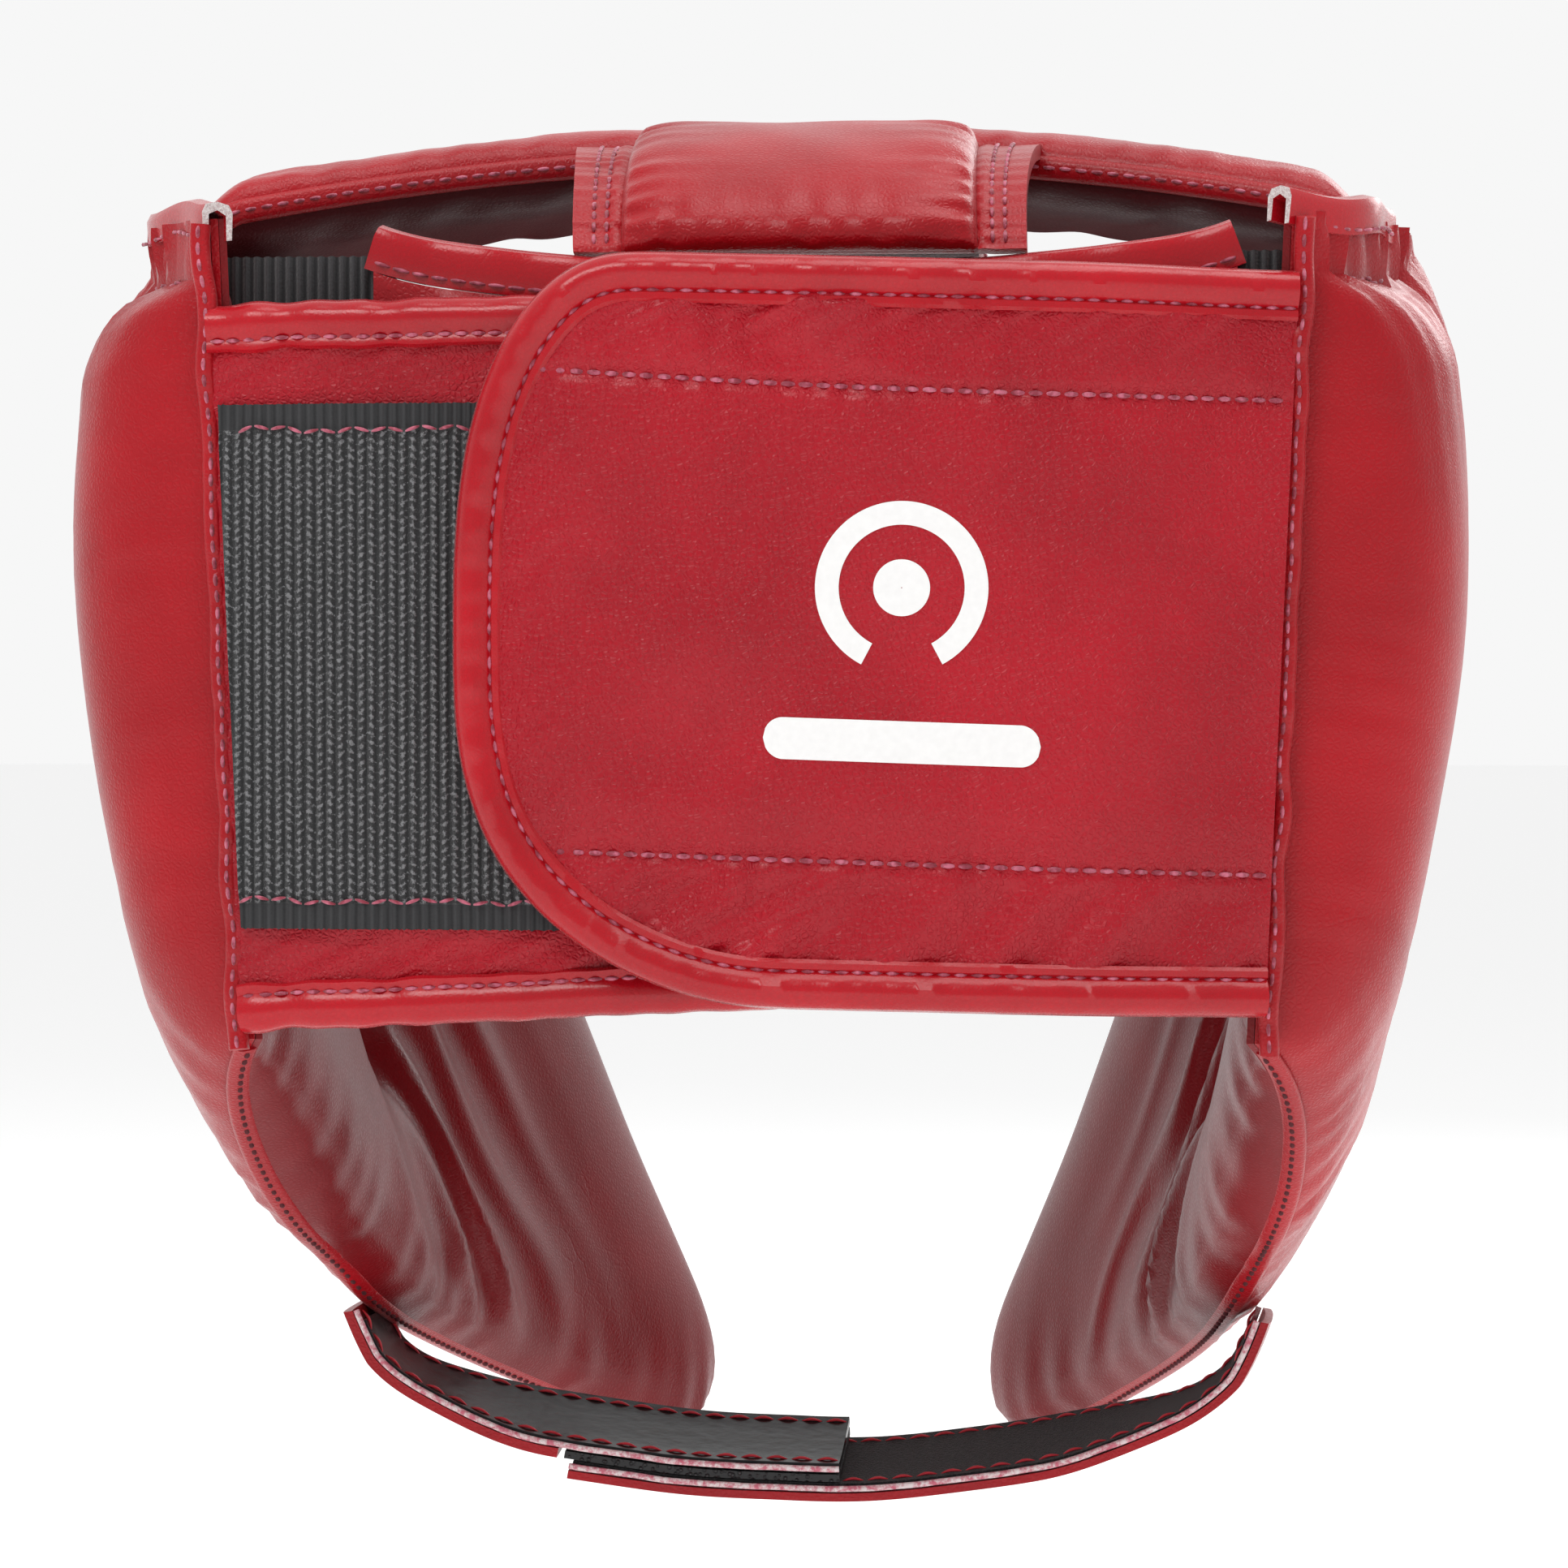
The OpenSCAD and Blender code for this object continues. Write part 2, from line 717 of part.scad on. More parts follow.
// The outline of the flap, taken in by inset: straight edges from the seam and
// a free end rounded more below than above.
function flap_outline(inset) = let (
    up = flap_up - inset,
    down = flap_down - inset,
    tip = flap_reach - inset,
    turn = [for (k = [-flap_steps : flap_steps]) let (t = sin(90 * k / flap_steps)) t < 0
        ? [tip - (46 - inset) * pow(-t, 4.6), flap_mid_z + down * t]
        : [tip - (22 - inset / 2) * pow(t, 4.3), flap_mid_z + up * t]]
) concat(
    [[flap_seam(-34) + 0.1, -33.6 + inset]],
    turn,
    [[flap_seam(77) + 0.1, 77 - inset]]
);

module flap_panel() {
    color(LEATHER) closure_layer(flap_outline(binding_w + clear), flap_near, flap_thick);
}

module flap_lining() {
    color(LINING) closure_layer(flap_outline(binding_w + clear), flap_lining_near, 1.2);
}

module flap_binding() {
    color(BINDING) difference() {
        closure_layer(flap_outline(0), flap_lining_near - 0.2, flap_near - flap_lining_near + flap_thick + 0.2 + binding_over);
        translate([0, closure_back + 31, 0]) rotate([90, 0, 0]) linear_extrude(62)
            polygon(concat([[flap_seam(-34) - 5, -33.6 + binding_w]], flap_outline(binding_w), [[flap_seam(77) - 5, 77 - binding_w]]));
    }
}

module hook_patch() {
    low = flap_mid_z + 3 - patch_h / 2;
    color(TAPE) closure_layer([
        [-14, low], [flap_reach - binding_w - 8, low],
        [flap_reach - binding_w - 5, low + 14], [flap_reach - binding_w - 5, low + patch_h - 14],
        [flap_reach - binding_w - 8, low + patch_h], [-14, low + patch_h]
    ], hook_near, tape_thick);
}

// ---- chin strap ---------------------------------------------------------------

strap_y = -5;
strap_tilt = 12;
strap_leather = 1.5;
strap_tape = 1.2;
strap_n = 26;
strap_end_z = -92;
strap_power = 1.85;
sewn_end = 84;                                    // angle along the curve of each sewn end
left_tip = -7;
right_tip = 32;
hook_end = 34;
tape_end = 80;

function signed_pow(a, e) = sign(a) * pow(abs(a), e);
// The strap's middle line at the angle t, from -90 at the wearer's right.
function strap_line(t) = [
    strap_half_l * signed_pow(sin(t), 2 / strap_power),
    strap_end_z - (strap_end_z - strap_low_z - 5) * pow(cos(t), 2 / strap_power)
];
function strap_normal(t) = let (d = strap_line(t + 0.5) - strap_line(t - 0.5)) [-d.y, d.x] / norm(d);

// A ribbon between two angles whose faces lie low_off and high_off over the line.
module ribbon(t0, t1, low_off, high_off) {
    function row(t, off) = let (
        n = strap_normal(t),
        base = strap_line(t) + off * n,
        lean = strap_w * sin(strap_tilt) * smooth((74 - abs(base.x)) / 35)
    ) [
        for (s = [-0.5, 0.5])
            [base.x - s * lean * n.x, strap_y + s * strap_w * cos(strap_tilt), base.y - s * lean * n.y]
    ];
    slab(
        [for (k = [0 : strap_n]) row(mix(t0, t1, k / strap_n), low_off)],
        [for (k = [0 : strap_n]) row(mix(t0, t1, k / strap_n), high_off)]
    );
}

right_top = -layer_gap / 2;
right_mid = right_top - strap_tape - layer_gap;
left_base = layer_gap / 2;
left_mid = left_base + strap_leather + layer_gap;

module strap_right_leather() {
    color(LEATHER) ribbon(-sewn_end, right_tip, right_mid - strap_leather, right_mid);
}

module strap_right_loop() {
    color(TAPE) ribbon(-tape_end, right_tip, right_top - strap_tape, right_top);
}

module strap_left_hook() {
    color(TAPE) ribbon(left_tip, hook_end - 1, left_base, left_base + strap_tape);
}

module strap_left_leather() {
    color(LEATHER) ribbon(hook_end, sewn_end, left_base, left_base + strap_leather);
}

module strap_left_webbing() {
    color(WEBBING) ribbon(left_tip, tape_end, left_mid, left_mid + strap_tape);
}

forehead_cover();
forehead_foam();
forehead_lining();
left_side_cover();
left_side_foam();
left_side_lining();
left_ear_rim();
right_side_cover();
right_side_foam();
right_side_lining();
right_ear_rim();
left_neck_binding();
right_neck_binding();
left_rear_seam();
right_rear_seam();
crown_band_cover();
crown_band_foam();
crown_band_lining();
crown_pad_cover();
crown_pad_foam();
crown_pad_lining();
crown_flange_left();
crown_flange_right();
front_strap_cover();
front_strap_foam();
front_strap_lining();
rear_panel_cover();
rear_panel_foam();
rear_panel_lining();
rear_panel_top_binding();
rear_panel_bottom_binding();
elastic_left();
elastic_right();
base_panel();
base_top_binding();
base_bottom_binding();
loop_patch();
flap_panel();
flap_binding();
flap_lining();
hook_patch();
strap_left_leather();
strap_left_webbing();
strap_left_hook();
strap_right_leather();
strap_right_loop();
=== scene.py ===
import math

import bmesh
import bpy
import numpy as np
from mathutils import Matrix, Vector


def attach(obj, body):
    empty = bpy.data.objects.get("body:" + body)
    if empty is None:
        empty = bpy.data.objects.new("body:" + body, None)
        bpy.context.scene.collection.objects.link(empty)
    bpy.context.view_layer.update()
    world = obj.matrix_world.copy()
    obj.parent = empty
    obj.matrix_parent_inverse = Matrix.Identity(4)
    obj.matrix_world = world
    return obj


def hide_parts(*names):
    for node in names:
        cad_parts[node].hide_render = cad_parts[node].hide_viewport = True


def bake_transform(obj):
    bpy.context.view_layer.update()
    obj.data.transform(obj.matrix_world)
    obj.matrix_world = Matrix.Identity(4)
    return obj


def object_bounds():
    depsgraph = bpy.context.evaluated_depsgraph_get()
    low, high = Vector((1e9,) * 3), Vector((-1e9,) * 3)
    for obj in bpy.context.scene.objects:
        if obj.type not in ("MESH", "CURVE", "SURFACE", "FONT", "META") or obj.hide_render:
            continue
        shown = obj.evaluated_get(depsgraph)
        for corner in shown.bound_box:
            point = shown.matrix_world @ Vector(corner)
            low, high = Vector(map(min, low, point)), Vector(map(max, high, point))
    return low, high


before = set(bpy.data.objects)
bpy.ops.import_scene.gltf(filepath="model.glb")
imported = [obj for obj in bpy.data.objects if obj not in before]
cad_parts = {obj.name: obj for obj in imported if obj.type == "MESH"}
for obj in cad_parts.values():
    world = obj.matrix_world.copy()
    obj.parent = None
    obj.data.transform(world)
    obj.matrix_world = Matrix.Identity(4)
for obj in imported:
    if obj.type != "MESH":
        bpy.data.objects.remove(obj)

cad_low, cad_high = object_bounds()
MM = 0.001


# Studio: a pale floor a hand's width under the guard, a white room and three
# soft boxes. The camera stands behind the head, level with its middle and a
# little to the wearer's right.
FLOOR_DROP = 0.06
FLOOR_HALF = 2e4
CAMERA_AZIMUTH = math.radians(185.3)
CAMERA_RISE = 0.012
CAMERA_DISTANCE = 0.989
CAMERA_AIM_Y = 0.011
CAMERA_LENS = 140.5
CAMERA_ASIDE = 0.0012

scene = bpy.context.scene
scene.view_settings.view_transform = "Standard"

camera = bpy.data.objects.new("camera", bpy.data.cameras.new("camera"))
camera.data.lens = CAMERA_LENS
camera.location = (
    CAMERA_ASIDE + CAMERA_DISTANCE * math.sin(CAMERA_AZIMUTH),
    CAMERA_AIM_Y - CAMERA_DISTANCE * math.cos(CAMERA_AZIMUTH),
    CAMERA_RISE,
)
camera.rotation_euler = (math.radians(90) - math.atan(CAMERA_RISE / CAMERA_DISTANCE), 0, CAMERA_AZIMUTH)
scene.collection.objects.link(camera)
scene.camera = camera

room = bpy.data.worlds.new("room")
room.use_nodes = True
sky = room.node_tree.nodes["Background"]
facing_way = room.node_tree.nodes.new("ShaderNodeTexCoord")
split = room.node_tree.nodes.new("ShaderNodeSeparateXYZ")
shade = room.node_tree.nodes.new("ShaderNodeMapRange")
for value, at in ((-0.35, "From Min"), (0.6, "From Max"), (0.93, "To Min"), (0.5, "To Max")):
    shade.inputs[at].default_value = value
room.node_tree.links.new(facing_way.outputs["Generated"], split.inputs[0])
room.node_tree.links.new(split.outputs["Y"], shade.inputs["Value"])
room.node_tree.links.new(shade.outputs[0], sky.inputs["Strength"])
sky.inputs["Color"].default_value = (1.0, 1.0, 1.0, 1.0)
scene.world = room


def soft_box(name, place, target, size, power):
    data = bpy.data.lights.new(name, "AREA")
    data.shape = "RECTANGLE"
    data.size, data.size_y = size
    data.energy = power
    light = bpy.data.objects.new(name, data)
    light.location = place
    aim = np.array(target) - np.array(place)
    light.rotation_euler = Vector(aim.tolist()).to_track_quat("-Z", "Y").to_euler()
    scene.collection.objects.link(light)


soft_box("key_light", (0.45, 0.9, 0.95), (0, 0.05, 0.0), (0.6, 0.35), 5.0)
soft_box("top_light", (-0.2, 0.15, 1.3), (0, 0, 0.0), (1.1, 0.7), 7.0)
soft_box("face_light", (-0.6, -1.1, 0.7), (0, 0, 0.0), (0.8, 0.8), 5.0)


def mesh_object(name, points, faces, materials=(), face_slots=None, smooth_to=45):
    """A mesh from points in millimetres, with its faces turned outwards."""
    mesh = bpy.data.meshes.new(name)
    mesh.from_pydata((np.asarray(points, float) * MM).tolist(), [], [tuple(map(int, f)) for f in faces])
    for material in materials:
        mesh.materials.append(material)
    if face_slots is not None:
        mesh.polygons.foreach_set("material_index", np.asarray(face_slots, np.int32))
    shape = bmesh.new()
    shape.from_mesh(mesh)
    loose = [v for v in shape.verts if not v.link_faces]
    bmesh.ops.delete(shape, geom=loose, context="VERTS")
    bmesh.ops.recalc_face_normals(shape, faces=shape.faces)
    shape.to_mesh(mesh)
    shape.free()
    mesh.shade_smooth()
    mesh.set_sharp_from_angle(angle=math.radians(smooth_to))
    made = bpy.data.objects.new(name, mesh)
    scene.collection.objects.link(made)
    return made


floor_z = cad_low[2] / MM - FLOOR_DROP / MM
paper = bpy.data.materials.new("paper")
paper.use_nodes = True
paper_shader = paper.node_tree.nodes["Principled BSDF"]
paper_shader.inputs["Base Color"].default_value = (0.92, 0.92, 0.92, 1)
paper_shader.inputs["Roughness"].default_value = 0.9
paper_shader.inputs["Emission Color"].default_value = (1, 1, 1, 1)
paper_shader.inputs["Emission Strength"].default_value = 0.2
paper_shader.inputs["Specular IOR Level"].default_value = 0.1
floor_corners = [(x * FLOOR_HALF, y * FLOOR_HALF, floor_z) for x, y in ((-1, -1), (1, -1), (1, 1), (-1, 1))]
floor = mesh_object("floor", floor_corners, [(0, 1, 2, 3)], [paper])


# Side pads. A slab of foam between a leather cover and a leather lining,
# sewn to each other flat along every edge, with an oval ear opening.
# The wall follows the head: straight along the side, then round to the face.
HEAD_HALF_W = 80.0
HEAD_FRONT = 103.0
WIDEST_Z = 35.0
EAR_LINE_Y = -15.0
REAR_SEAM_Y = 78.0
BEND_RADIUS = 92.0
STRAIGHT = REAR_SEAM_Y - EAR_LINE_Y
SIDE_TOP = 86.5
REAR_LOW = -38.0
JAW_Z = -80.0
CHEEK_LOW = -124.0
JAW_U = 0.34
EDGE_THICK = 3.6
SKIN = 1.1
SEAM_LEAN = 0.0446
TEMPLE_ANGLE = 38.0
CHEEK_CORNER = 10.0
EAR_CELLS = (8, 11, 3, 6)
EAR_HALF = (14.5, 21.0)
EAR_SPAN = (12.4, 21.5)
CELLS = (20, 12)
CELL_FINE = 6
RED = (0.45, 0.005, 0.012)
LINING_RED = (0.24, 0.004, 0.008)
LEATHER_DEPTH = 0.72


class Shade:
    """A socket of a node tree; lets shader maths read as plain expressions."""

    def __init__(self, tree, socket=None):
        self.tree = tree
        self.socket = socket

    def node(self, kind, sockets, out=0, **settings):
        made = self.tree.nodes.new("ShaderNode" + kind)
        for name, value in settings.items():
            setattr(made, name, value)
        for name, value in sockets.items():
            if isinstance(value, Shade):
                self.tree.links.new(value.socket, made.inputs[name])
            else:
                made.inputs[name].default_value = value
        return Shade(self.tree, made.outputs[out])

    def math(self, operation, a, b=0.0):
        return self.node("Math", {0: a, 1: b}, operation=operation)

    def __add__(self, other):
        return self.math("ADD", self, other)

    __radd__ = __add__

    def __sub__(self, other):
        return self.math("SUBTRACT", self, other)

    def __rsub__(self, other):
        return self.math("SUBTRACT", other, self)

    def __mul__(self, other):
        return self.math("MULTIPLY", self, other)

    __rmul__ = __mul__

    def step(self, low, high):
        return self.node("MapRange", {"Value": self, "From Min": low, "From Max": high},
                         interpolation_type="SMOOTHSTEP")

    def sine(self):
        return self.math("SINE", self)

    def tint(self, a, b):
        """Colour a where this value is 0 and colour b where it is 1."""
        return self.node("Mix", {0: self, 6: a, 7: b}, out=2, data_type="RGBA")

    def axis(self, letter):
        return self.node("SeparateXYZ", {0: self}, out="XYZ".index(letter))

    def noise(self, scale, detail=2.0, rough=0.5, out=0):
        sockets = {"Vector": self, "Scale": scale, "Detail": detail, "Roughness": rough}
        return self.node("TexNoise", sockets, out=out)

    def cells(self, scale, feature="DISTANCE_TO_EDGE"):
        return self.node("TexVoronoi", {"Vector": self, "Scale": scale}, feature=feature)


def finish(name, paint, **fixed):
    """A material whose fixed values sit on the shader; paint adds what varies."""
    made = bpy.data.materials.new(name)
    made.use_nodes = True
    tree = made.node_tree
    shader = tree.nodes["Principled BSDF"]
    for socket, value in fixed.items():
        shader.inputs[socket.replace("_", " ")].default_value = value
    place = Shade(tree).node("TexCoord", {}, out=3)
    for socket, value in paint(place).items():
        tree.links.new(value.socket, shader.inputs[socket])
    return made


def bump(place, height, depth, strength=1.0, under=None):
    sockets = {"Height": height, "Distance": depth, "Strength": strength}
    if under is not None:
        sockets["Normal"] = under
    return place.node("Bump", sockets)


def rgb(red, green, blue):
    return (red, green, blue, 1.0)


def leather(name, colour, grain, creases, gloss, coat):
    """Coated leather: fine pebbled grain, faint creases and slow changes of tone."""
    def paint(place):
        wobble = place.node("VectorMath", {0: place.noise(420.0, out=1), 1: (0.0006, 0.0006, 0.0006)},
                            operation="MULTIPLY")
        bent = place.node("VectorMath", {0: place, 1: wobble}, operation="ADD")
        pebble = bent.cells(1250.0).step(0.02, 0.3)
        fine = place.noise(2600.0, 2.0)
        crease = 1.0 - bent.cells(150.0).step(0.0, 0.05)
        worn = place.noise(34.0, 3.0).step(0.5, 0.68)
        slow = place.noise(26.0, 3.0, 0.55)
        height = pebble * (0.7 * grain) + fine * (0.25 * grain) - crease * worn * (0.8 * creases)
        grained = bump(place, height, 0.00007)
        normal = bump(place, place.noise(95.0, 2.0), 0.0006 * creases, 0.3, under=grained)
        tone = slow.step(0.3, 0.72)
        deep = rgb(*[c * LEATHER_DEPTH for c in colour])
        return {
            "Base Color": (tone * 0.8 + pebble * 0.2).tint(deep, rgb(*colour)),
            "Roughness": gloss - 0.06 + slow * 0.1 + (1.0 - pebble) * 0.08,
            "Normal": normal,
        }
    return finish(name, paint, Specular_IOR_Level=0.27, Coat_Weight=coat, Coat_Roughness=0.16, IOR=1.48,
                  Sheen_Weight=0.07, Sheen_Roughness=0.35)


cover_leather = leather("cover_leather", RED, grain=0.8, creases=0.6, gloss=0.3, coat=0.12)
lining_leather = leather("lining_leather", LINING_RED, grain=0.5, creases=0.6, gloss=0.34, coat=0.06)


def paint_foam(place):
    pores = place.cells(900.0, "F1").step(0.1, 0.5)
    return {"Base Color": pores.tint(rgb(0.02, 0.02, 0.022), rgb(0.06, 0.06, 0.065)),
            "Normal": bump(place, pores, 0.0002)}


foam_finish = finish("foam", paint_foam, Roughness=0.95, Specular_IOR_Level=0.2)


def fit(piece, body, slot, *nodes):
    """Fixes a piece to a body and hides the CAD nodes it stands for; slot is not used."""
    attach(piece, body)
    if nodes:
        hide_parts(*nodes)
    return piece


def clamp01(t):
    return np.clip(t, 0.0, 1.0)


def smooth(t):
    c = clamp01(t)
    return c * c * (3 - 2 * c)


def mix(a, b, t):
    return a + (b - a) * t


def puff(distance, width):
    t = 1 - clamp01(distance / width)
    return np.sqrt(np.maximum(0.0, 1 - t ** 2.2))


def wall_half_w(z):
    d = z - WIDEST_Z
    return HEAD_HALF_W - np.where(d > 0, 6 * (np.abs(d) / 50) ** 2, 9 * (np.abs(d) / 80) ** 2.1)


def wall_depth(z):
    return HEAD_FRONT - 10 * (np.maximum(0, z - 20) / 70) ** 2


def path_of(angle):
    return STRAIGHT + np.radians(angle) * BEND_RADIUS


def wall_point(p, z, off):
    """A point at path length p from the rear seam, at height z, off outwards."""
    p, z, off = np.broadcast_arrays(np.asarray(p, float), z, off)
    a = np.maximum(0, p - STRAIGHT) / BEND_RADIUS
    w, d = wall_half_w(z), wall_depth(z)
    nx, ny = d * np.cos(a), -w * np.sin(a)
    n = np.hypot(nx, ny)
    x = w * np.cos(a) + off * nx / n
    y = EAR_LINE_Y + STRAIGHT - np.minimum(p, STRAIGHT) - d * np.sin(a) + off * ny / n
    return np.stack([x, y, z], -1)


def waves(t, length, seed, octaves=5):
    """An uneven ripple between about -1 and 1, of the given wave length."""
    rng = np.random.default_rng(seed)
    total = np.zeros_like(np.asarray(t, float))
    for k in range(octaves):
        stretch = length * (0.55 + 0.9 * rng.random())
        total += np.sin(2 * math.pi * (t / stretch + rng.random())) / octaves ** 0.5
    return total


def seam_x(z):
    return 78 + SEAM_LEAN * z


def face_angle(z):
    return TEMPLE_ANGLE + 29 * np.maximum(0, (8 - z) / 126) ** 0.7


def side_low(u):
    rear = mix(REAR_LOW, JAW_Z, u / JAW_U)
    front = mix(JAW_Z, CHEEK_LOW, (u - JAW_U) / (1 - JAW_U))
    corner = CHEEK_CORNER * np.maximum(0, (u - 0.85) / 0.15) ** 3
    knee = 3.0 * np.exp(-((u - JAW_U) / 0.05) ** 2)
    return np.where(u < JAW_U, rear, front + corner) + knee


def side_front(v):
    rounded = CHEEK_CORNER * np.maximum(0, 1 - v / 0.12) ** 3
    return path_of(face_angle(mix(CHEEK_LOW, SIDE_TOP, v))) - rounded


def side_place(i, j):
    """Cell numbers to [u, v] over the pad, with the cells by the ear turned oval."""
    ci, cj = (EAR_CELLS[0] + EAR_CELLS[1]) / 2, (EAR_CELLS[2] + EAR_CELLS[3]) / 2
    hi, hj = (EAR_CELLS[1] - EAR_CELLS[0]) / 2, (EAR_CELLS[3] - EAR_CELLS[2]) / 2
    a, b = (i - ci) / hi, (j - cj) / hj
    m = np.maximum(np.abs(a), np.abs(b))
    pull = clamp01((2.6 - m) / 1.6)
    r = np.maximum(0.001, np.hypot(a, b))
    aa = mix(a, a / r * m * EAR_HALF[0] / EAR_SPAN[0], pull)
    bb = mix(b, b / r * m * EAR_HALF[1] / EAR_SPAN[1], pull)
    return (ci + aa * hi) / CELLS[0], (cj + bb * hj) / CELLS[1], m


def side_pz(u, v):
    u, v = clamp01(u), clamp01(v)
    return u * side_front(v), mix(side_low(u), SIDE_TOP, v)


def seam_bulge(z):
    """How far outside the head space the pads are sewn to each other."""
    return 15 + 10 * smooth((z - 50) / 38)


def side_seam_off(p, z):
    rear = seam_x(z) - wall_half_w(z)
    body = seam_bulge(z) - 7 * smooth((-60 - z) / 50)
    return mix(rear, body, 1 - np.exp(-p / 20))


def neck_at(p):
    return mix(10.0, 3.0, smooth((p - 20) / 40))


def side_fields(fine):
    """The pad's grid at fine steps a cell: path, height, puff and distances to the edges."""
    lines = [np.arange(cells * fine + 1) / fine for cells in CELLS]
    i, j = np.meshgrid(*lines, indexing="ij")
    u, v, ring = side_place(i, j)
    p, z = side_pz(u, v)
    from_rear, from_front = p, side_front(clamp01(v)) - p
    from_top, from_low = SIDE_TOP - neck_at(p) - z, z - side_low(clamp01(u))
    from_ear = np.maximum(0, (ring - 1) * EAR_HALF[0])
    full = (puff(from_rear, 26) * puff(from_front, 28) * puff(from_top, 15)
            * puff(from_low, 26) * puff(from_ear, 13))
    return p, z, full, (from_rear, from_front, SIDE_TOP - z, from_low, from_ear)


def side_full(z):
    return mix(25.0, 30.0, smooth((z + 45) / 90)) - 6 * smooth((-50 - z) / 50)


def grid(first, second):
    """Two runs, each [from, to, count], spread over a grid."""
    return np.meshgrid(np.linspace(*first), np.linspace(*second), indexing="ij")


def grid_slab(name, low, high, skin, edge=None, hole=None):
    """A closed slab between two grids of points; its rim may show a raw edge."""
    nu, nv = low.shape[0] - 1, low.shape[1] - 1
    index = np.arange((nu + 1) * (nv + 1)).reshape(nu + 1, nv + 1)
    keep = np.ones((nu, nv), bool)
    if hole:
        keep[hole[0]:hole[1], hole[2]:hole[3]] = False
    a, b = index[:-1, :-1][keep], index[1:, :-1][keep]
    c, d = index[1:, 1:][keep], index[:-1, 1:][keep]
    top = np.stack([a, b, c, d], -1)
    shift = index.size
    faces = [top, top[:, ::-1] + shift]
    rims = [index[:, 0], index[-1, :], index[::-1, -1], index[0, ::-1]]
    if hole:
        ring = np.concatenate([
            index[hole[0]:hole[1], hole[2]], index[hole[1], hole[2]:hole[3]],
            index[hole[1]:hole[0]:-1, hole[3]], index[hole[0], hole[3]:hole[2] - 1:-1],
        ])
        rims.append(ring)
    for line in rims:
        faces.append(np.stack([line[:-1], line[1:], line[1:] + shift, line[:-1] + shift], -1))
    slots = np.concatenate([np.zeros(len(faces[0]) * 2, int), np.ones(sum(map(len, faces[2:])), int)])
    materials = [skin, edge or skin]
    points = np.concatenate([low.reshape(-1, 3), high.reshape(-1, 3)])
    return mesh_object(name, points, np.concatenate(faces), materials, slots)


def side_wrinkles(p, z, edges, seed):
    """How far the cover stands in or out: puckers run square to each seam."""
    rear, front, top, low, ear = edges
    lumps = 0.22 * waves(p + 0.4 * z, 61, seed) * waves(z - 0.3 * p, 74, seed + 1)
    uneven = 0.55 + 0.45 * waves(z, 33, seed + 8)
    rear_pucker = 0.55 * uneven * waves(z + 0.3 * p, 6.5, seed + 2) * np.exp(-rear / 6)
    low_pucker = 0.75 * waves(p - 0.3 * low, 7.5, seed + 3) * np.exp(-low / 7)
    front_pucker = 0.4 * waves(z, 9.5, seed + 4) * np.exp(-front / 7)
    fan = 1.7 * waves(p - 0.12 * top, 5.2, seed + 5) * np.exp(-top / 13) * smooth((60 - p) / 40)
    ear_pucker = 0.6 * waves(np.arctan2(z + 20, p - 92) * 12, 5.5, seed + 6) * np.exp(-ear / 6)
    crumple = 0.45 * waves(0.8 * p + z, 13, seed + 7) * np.exp(-low / 16) * np.exp(-rear / 40)
    return lumps + rear_pucker + low_pucker + front_pucker + fan + ear_pucker + crumple


def lining_folds(p, z, edges, seed):
    """Long slanting folds where the lining turns from the jaw to the cheek."""
    low = edges[3]
    across = p + 0.42 * (z + 60) + 2.2 * waves(z, 60, seed) + 2.4 * waves(p, 44, seed + 3)
    ridge = (0.5 + 0.5 * np.sin(2 * math.pi * across / 17 + seed)) ** 1.6
    deep = 0.75 + 0.25 * waves(across, 31, seed + 2)
    reach = np.exp(-((p - 112) / 26) ** 2) * smooth((-22 - z) / 22) * smooth(low / 14)
    pucker = 0.5 * waves(p - 0.3 * low, 11, seed + 1) * np.exp(-low / 7)
    return pucker - 4.6 * ridge * deep * reach + 1.4 * reach


def pad(title, ends, nodes, at, low, high, core, liner, softness, edge=None, hole=None):
    """The three layers of a pad: cover outside, lining inside, foam between."""
    layers = (
        ("cover", high - SKIN, high, cover_leather, edge, "leather"),
        ("lining", low, low + SKIN, liner, edge, "lining"),
        ("foam", core, high - SKIN - 0.1, foam_finish, cover_leather, "foam"),
    )
    for (layer, inner, outer, skin, rim, slot), end, soft in zip(layers, ends, softness):
        made = grid_slab(f"{title}_{layer}.{end}", at(inner), at(outer), skin, rim, hole)
        fit(made, "shell", slot, f"{nodes}_{layer}")


def core_above(low, high):
    """The inner face of the foam, just outside the lining and inside the cover."""
    return np.minimum(low + SKIN + 0.1, high - SKIN - 0.2)


PAD_ENDS = ("skin", "skin", "slab")
mirror = {"left": np.array([1, 1, 1]), "right": np.array([-1, 1, 1])}
for side, seed in (("left", 11), ("right", 47)):
    p, z, full, edges = side_fields(CELL_FINE)
    thick = EDGE_THICK + (side_full(z) - EDGE_THICK) * full
    inner = side_seam_off(p, z) * (1 - full) - EDGE_THICK / 2
    hole = tuple(c * CELL_FINE for c in EAR_CELLS)
    held = clamp01(np.minimum.reduce([edges[0], edges[1], edges[3], edges[4]]) / 2.0)
    out_off = inner + thick + side_wrinkles(p, z, edges, seed) * held
    in_off = inner + np.minimum(lining_folds(p, z, edges, seed) * held, np.maximum(0.0, thick - 6))

    def layer(offset):
        return wall_point(p, z, offset) * mirror[side]

    pad("side", (side, side, side), f"{side}_side", layer, in_off, out_off, core_above(in_off, out_off),
        lining_leather, (0.85, 0.7, 0.9), hole=hole)


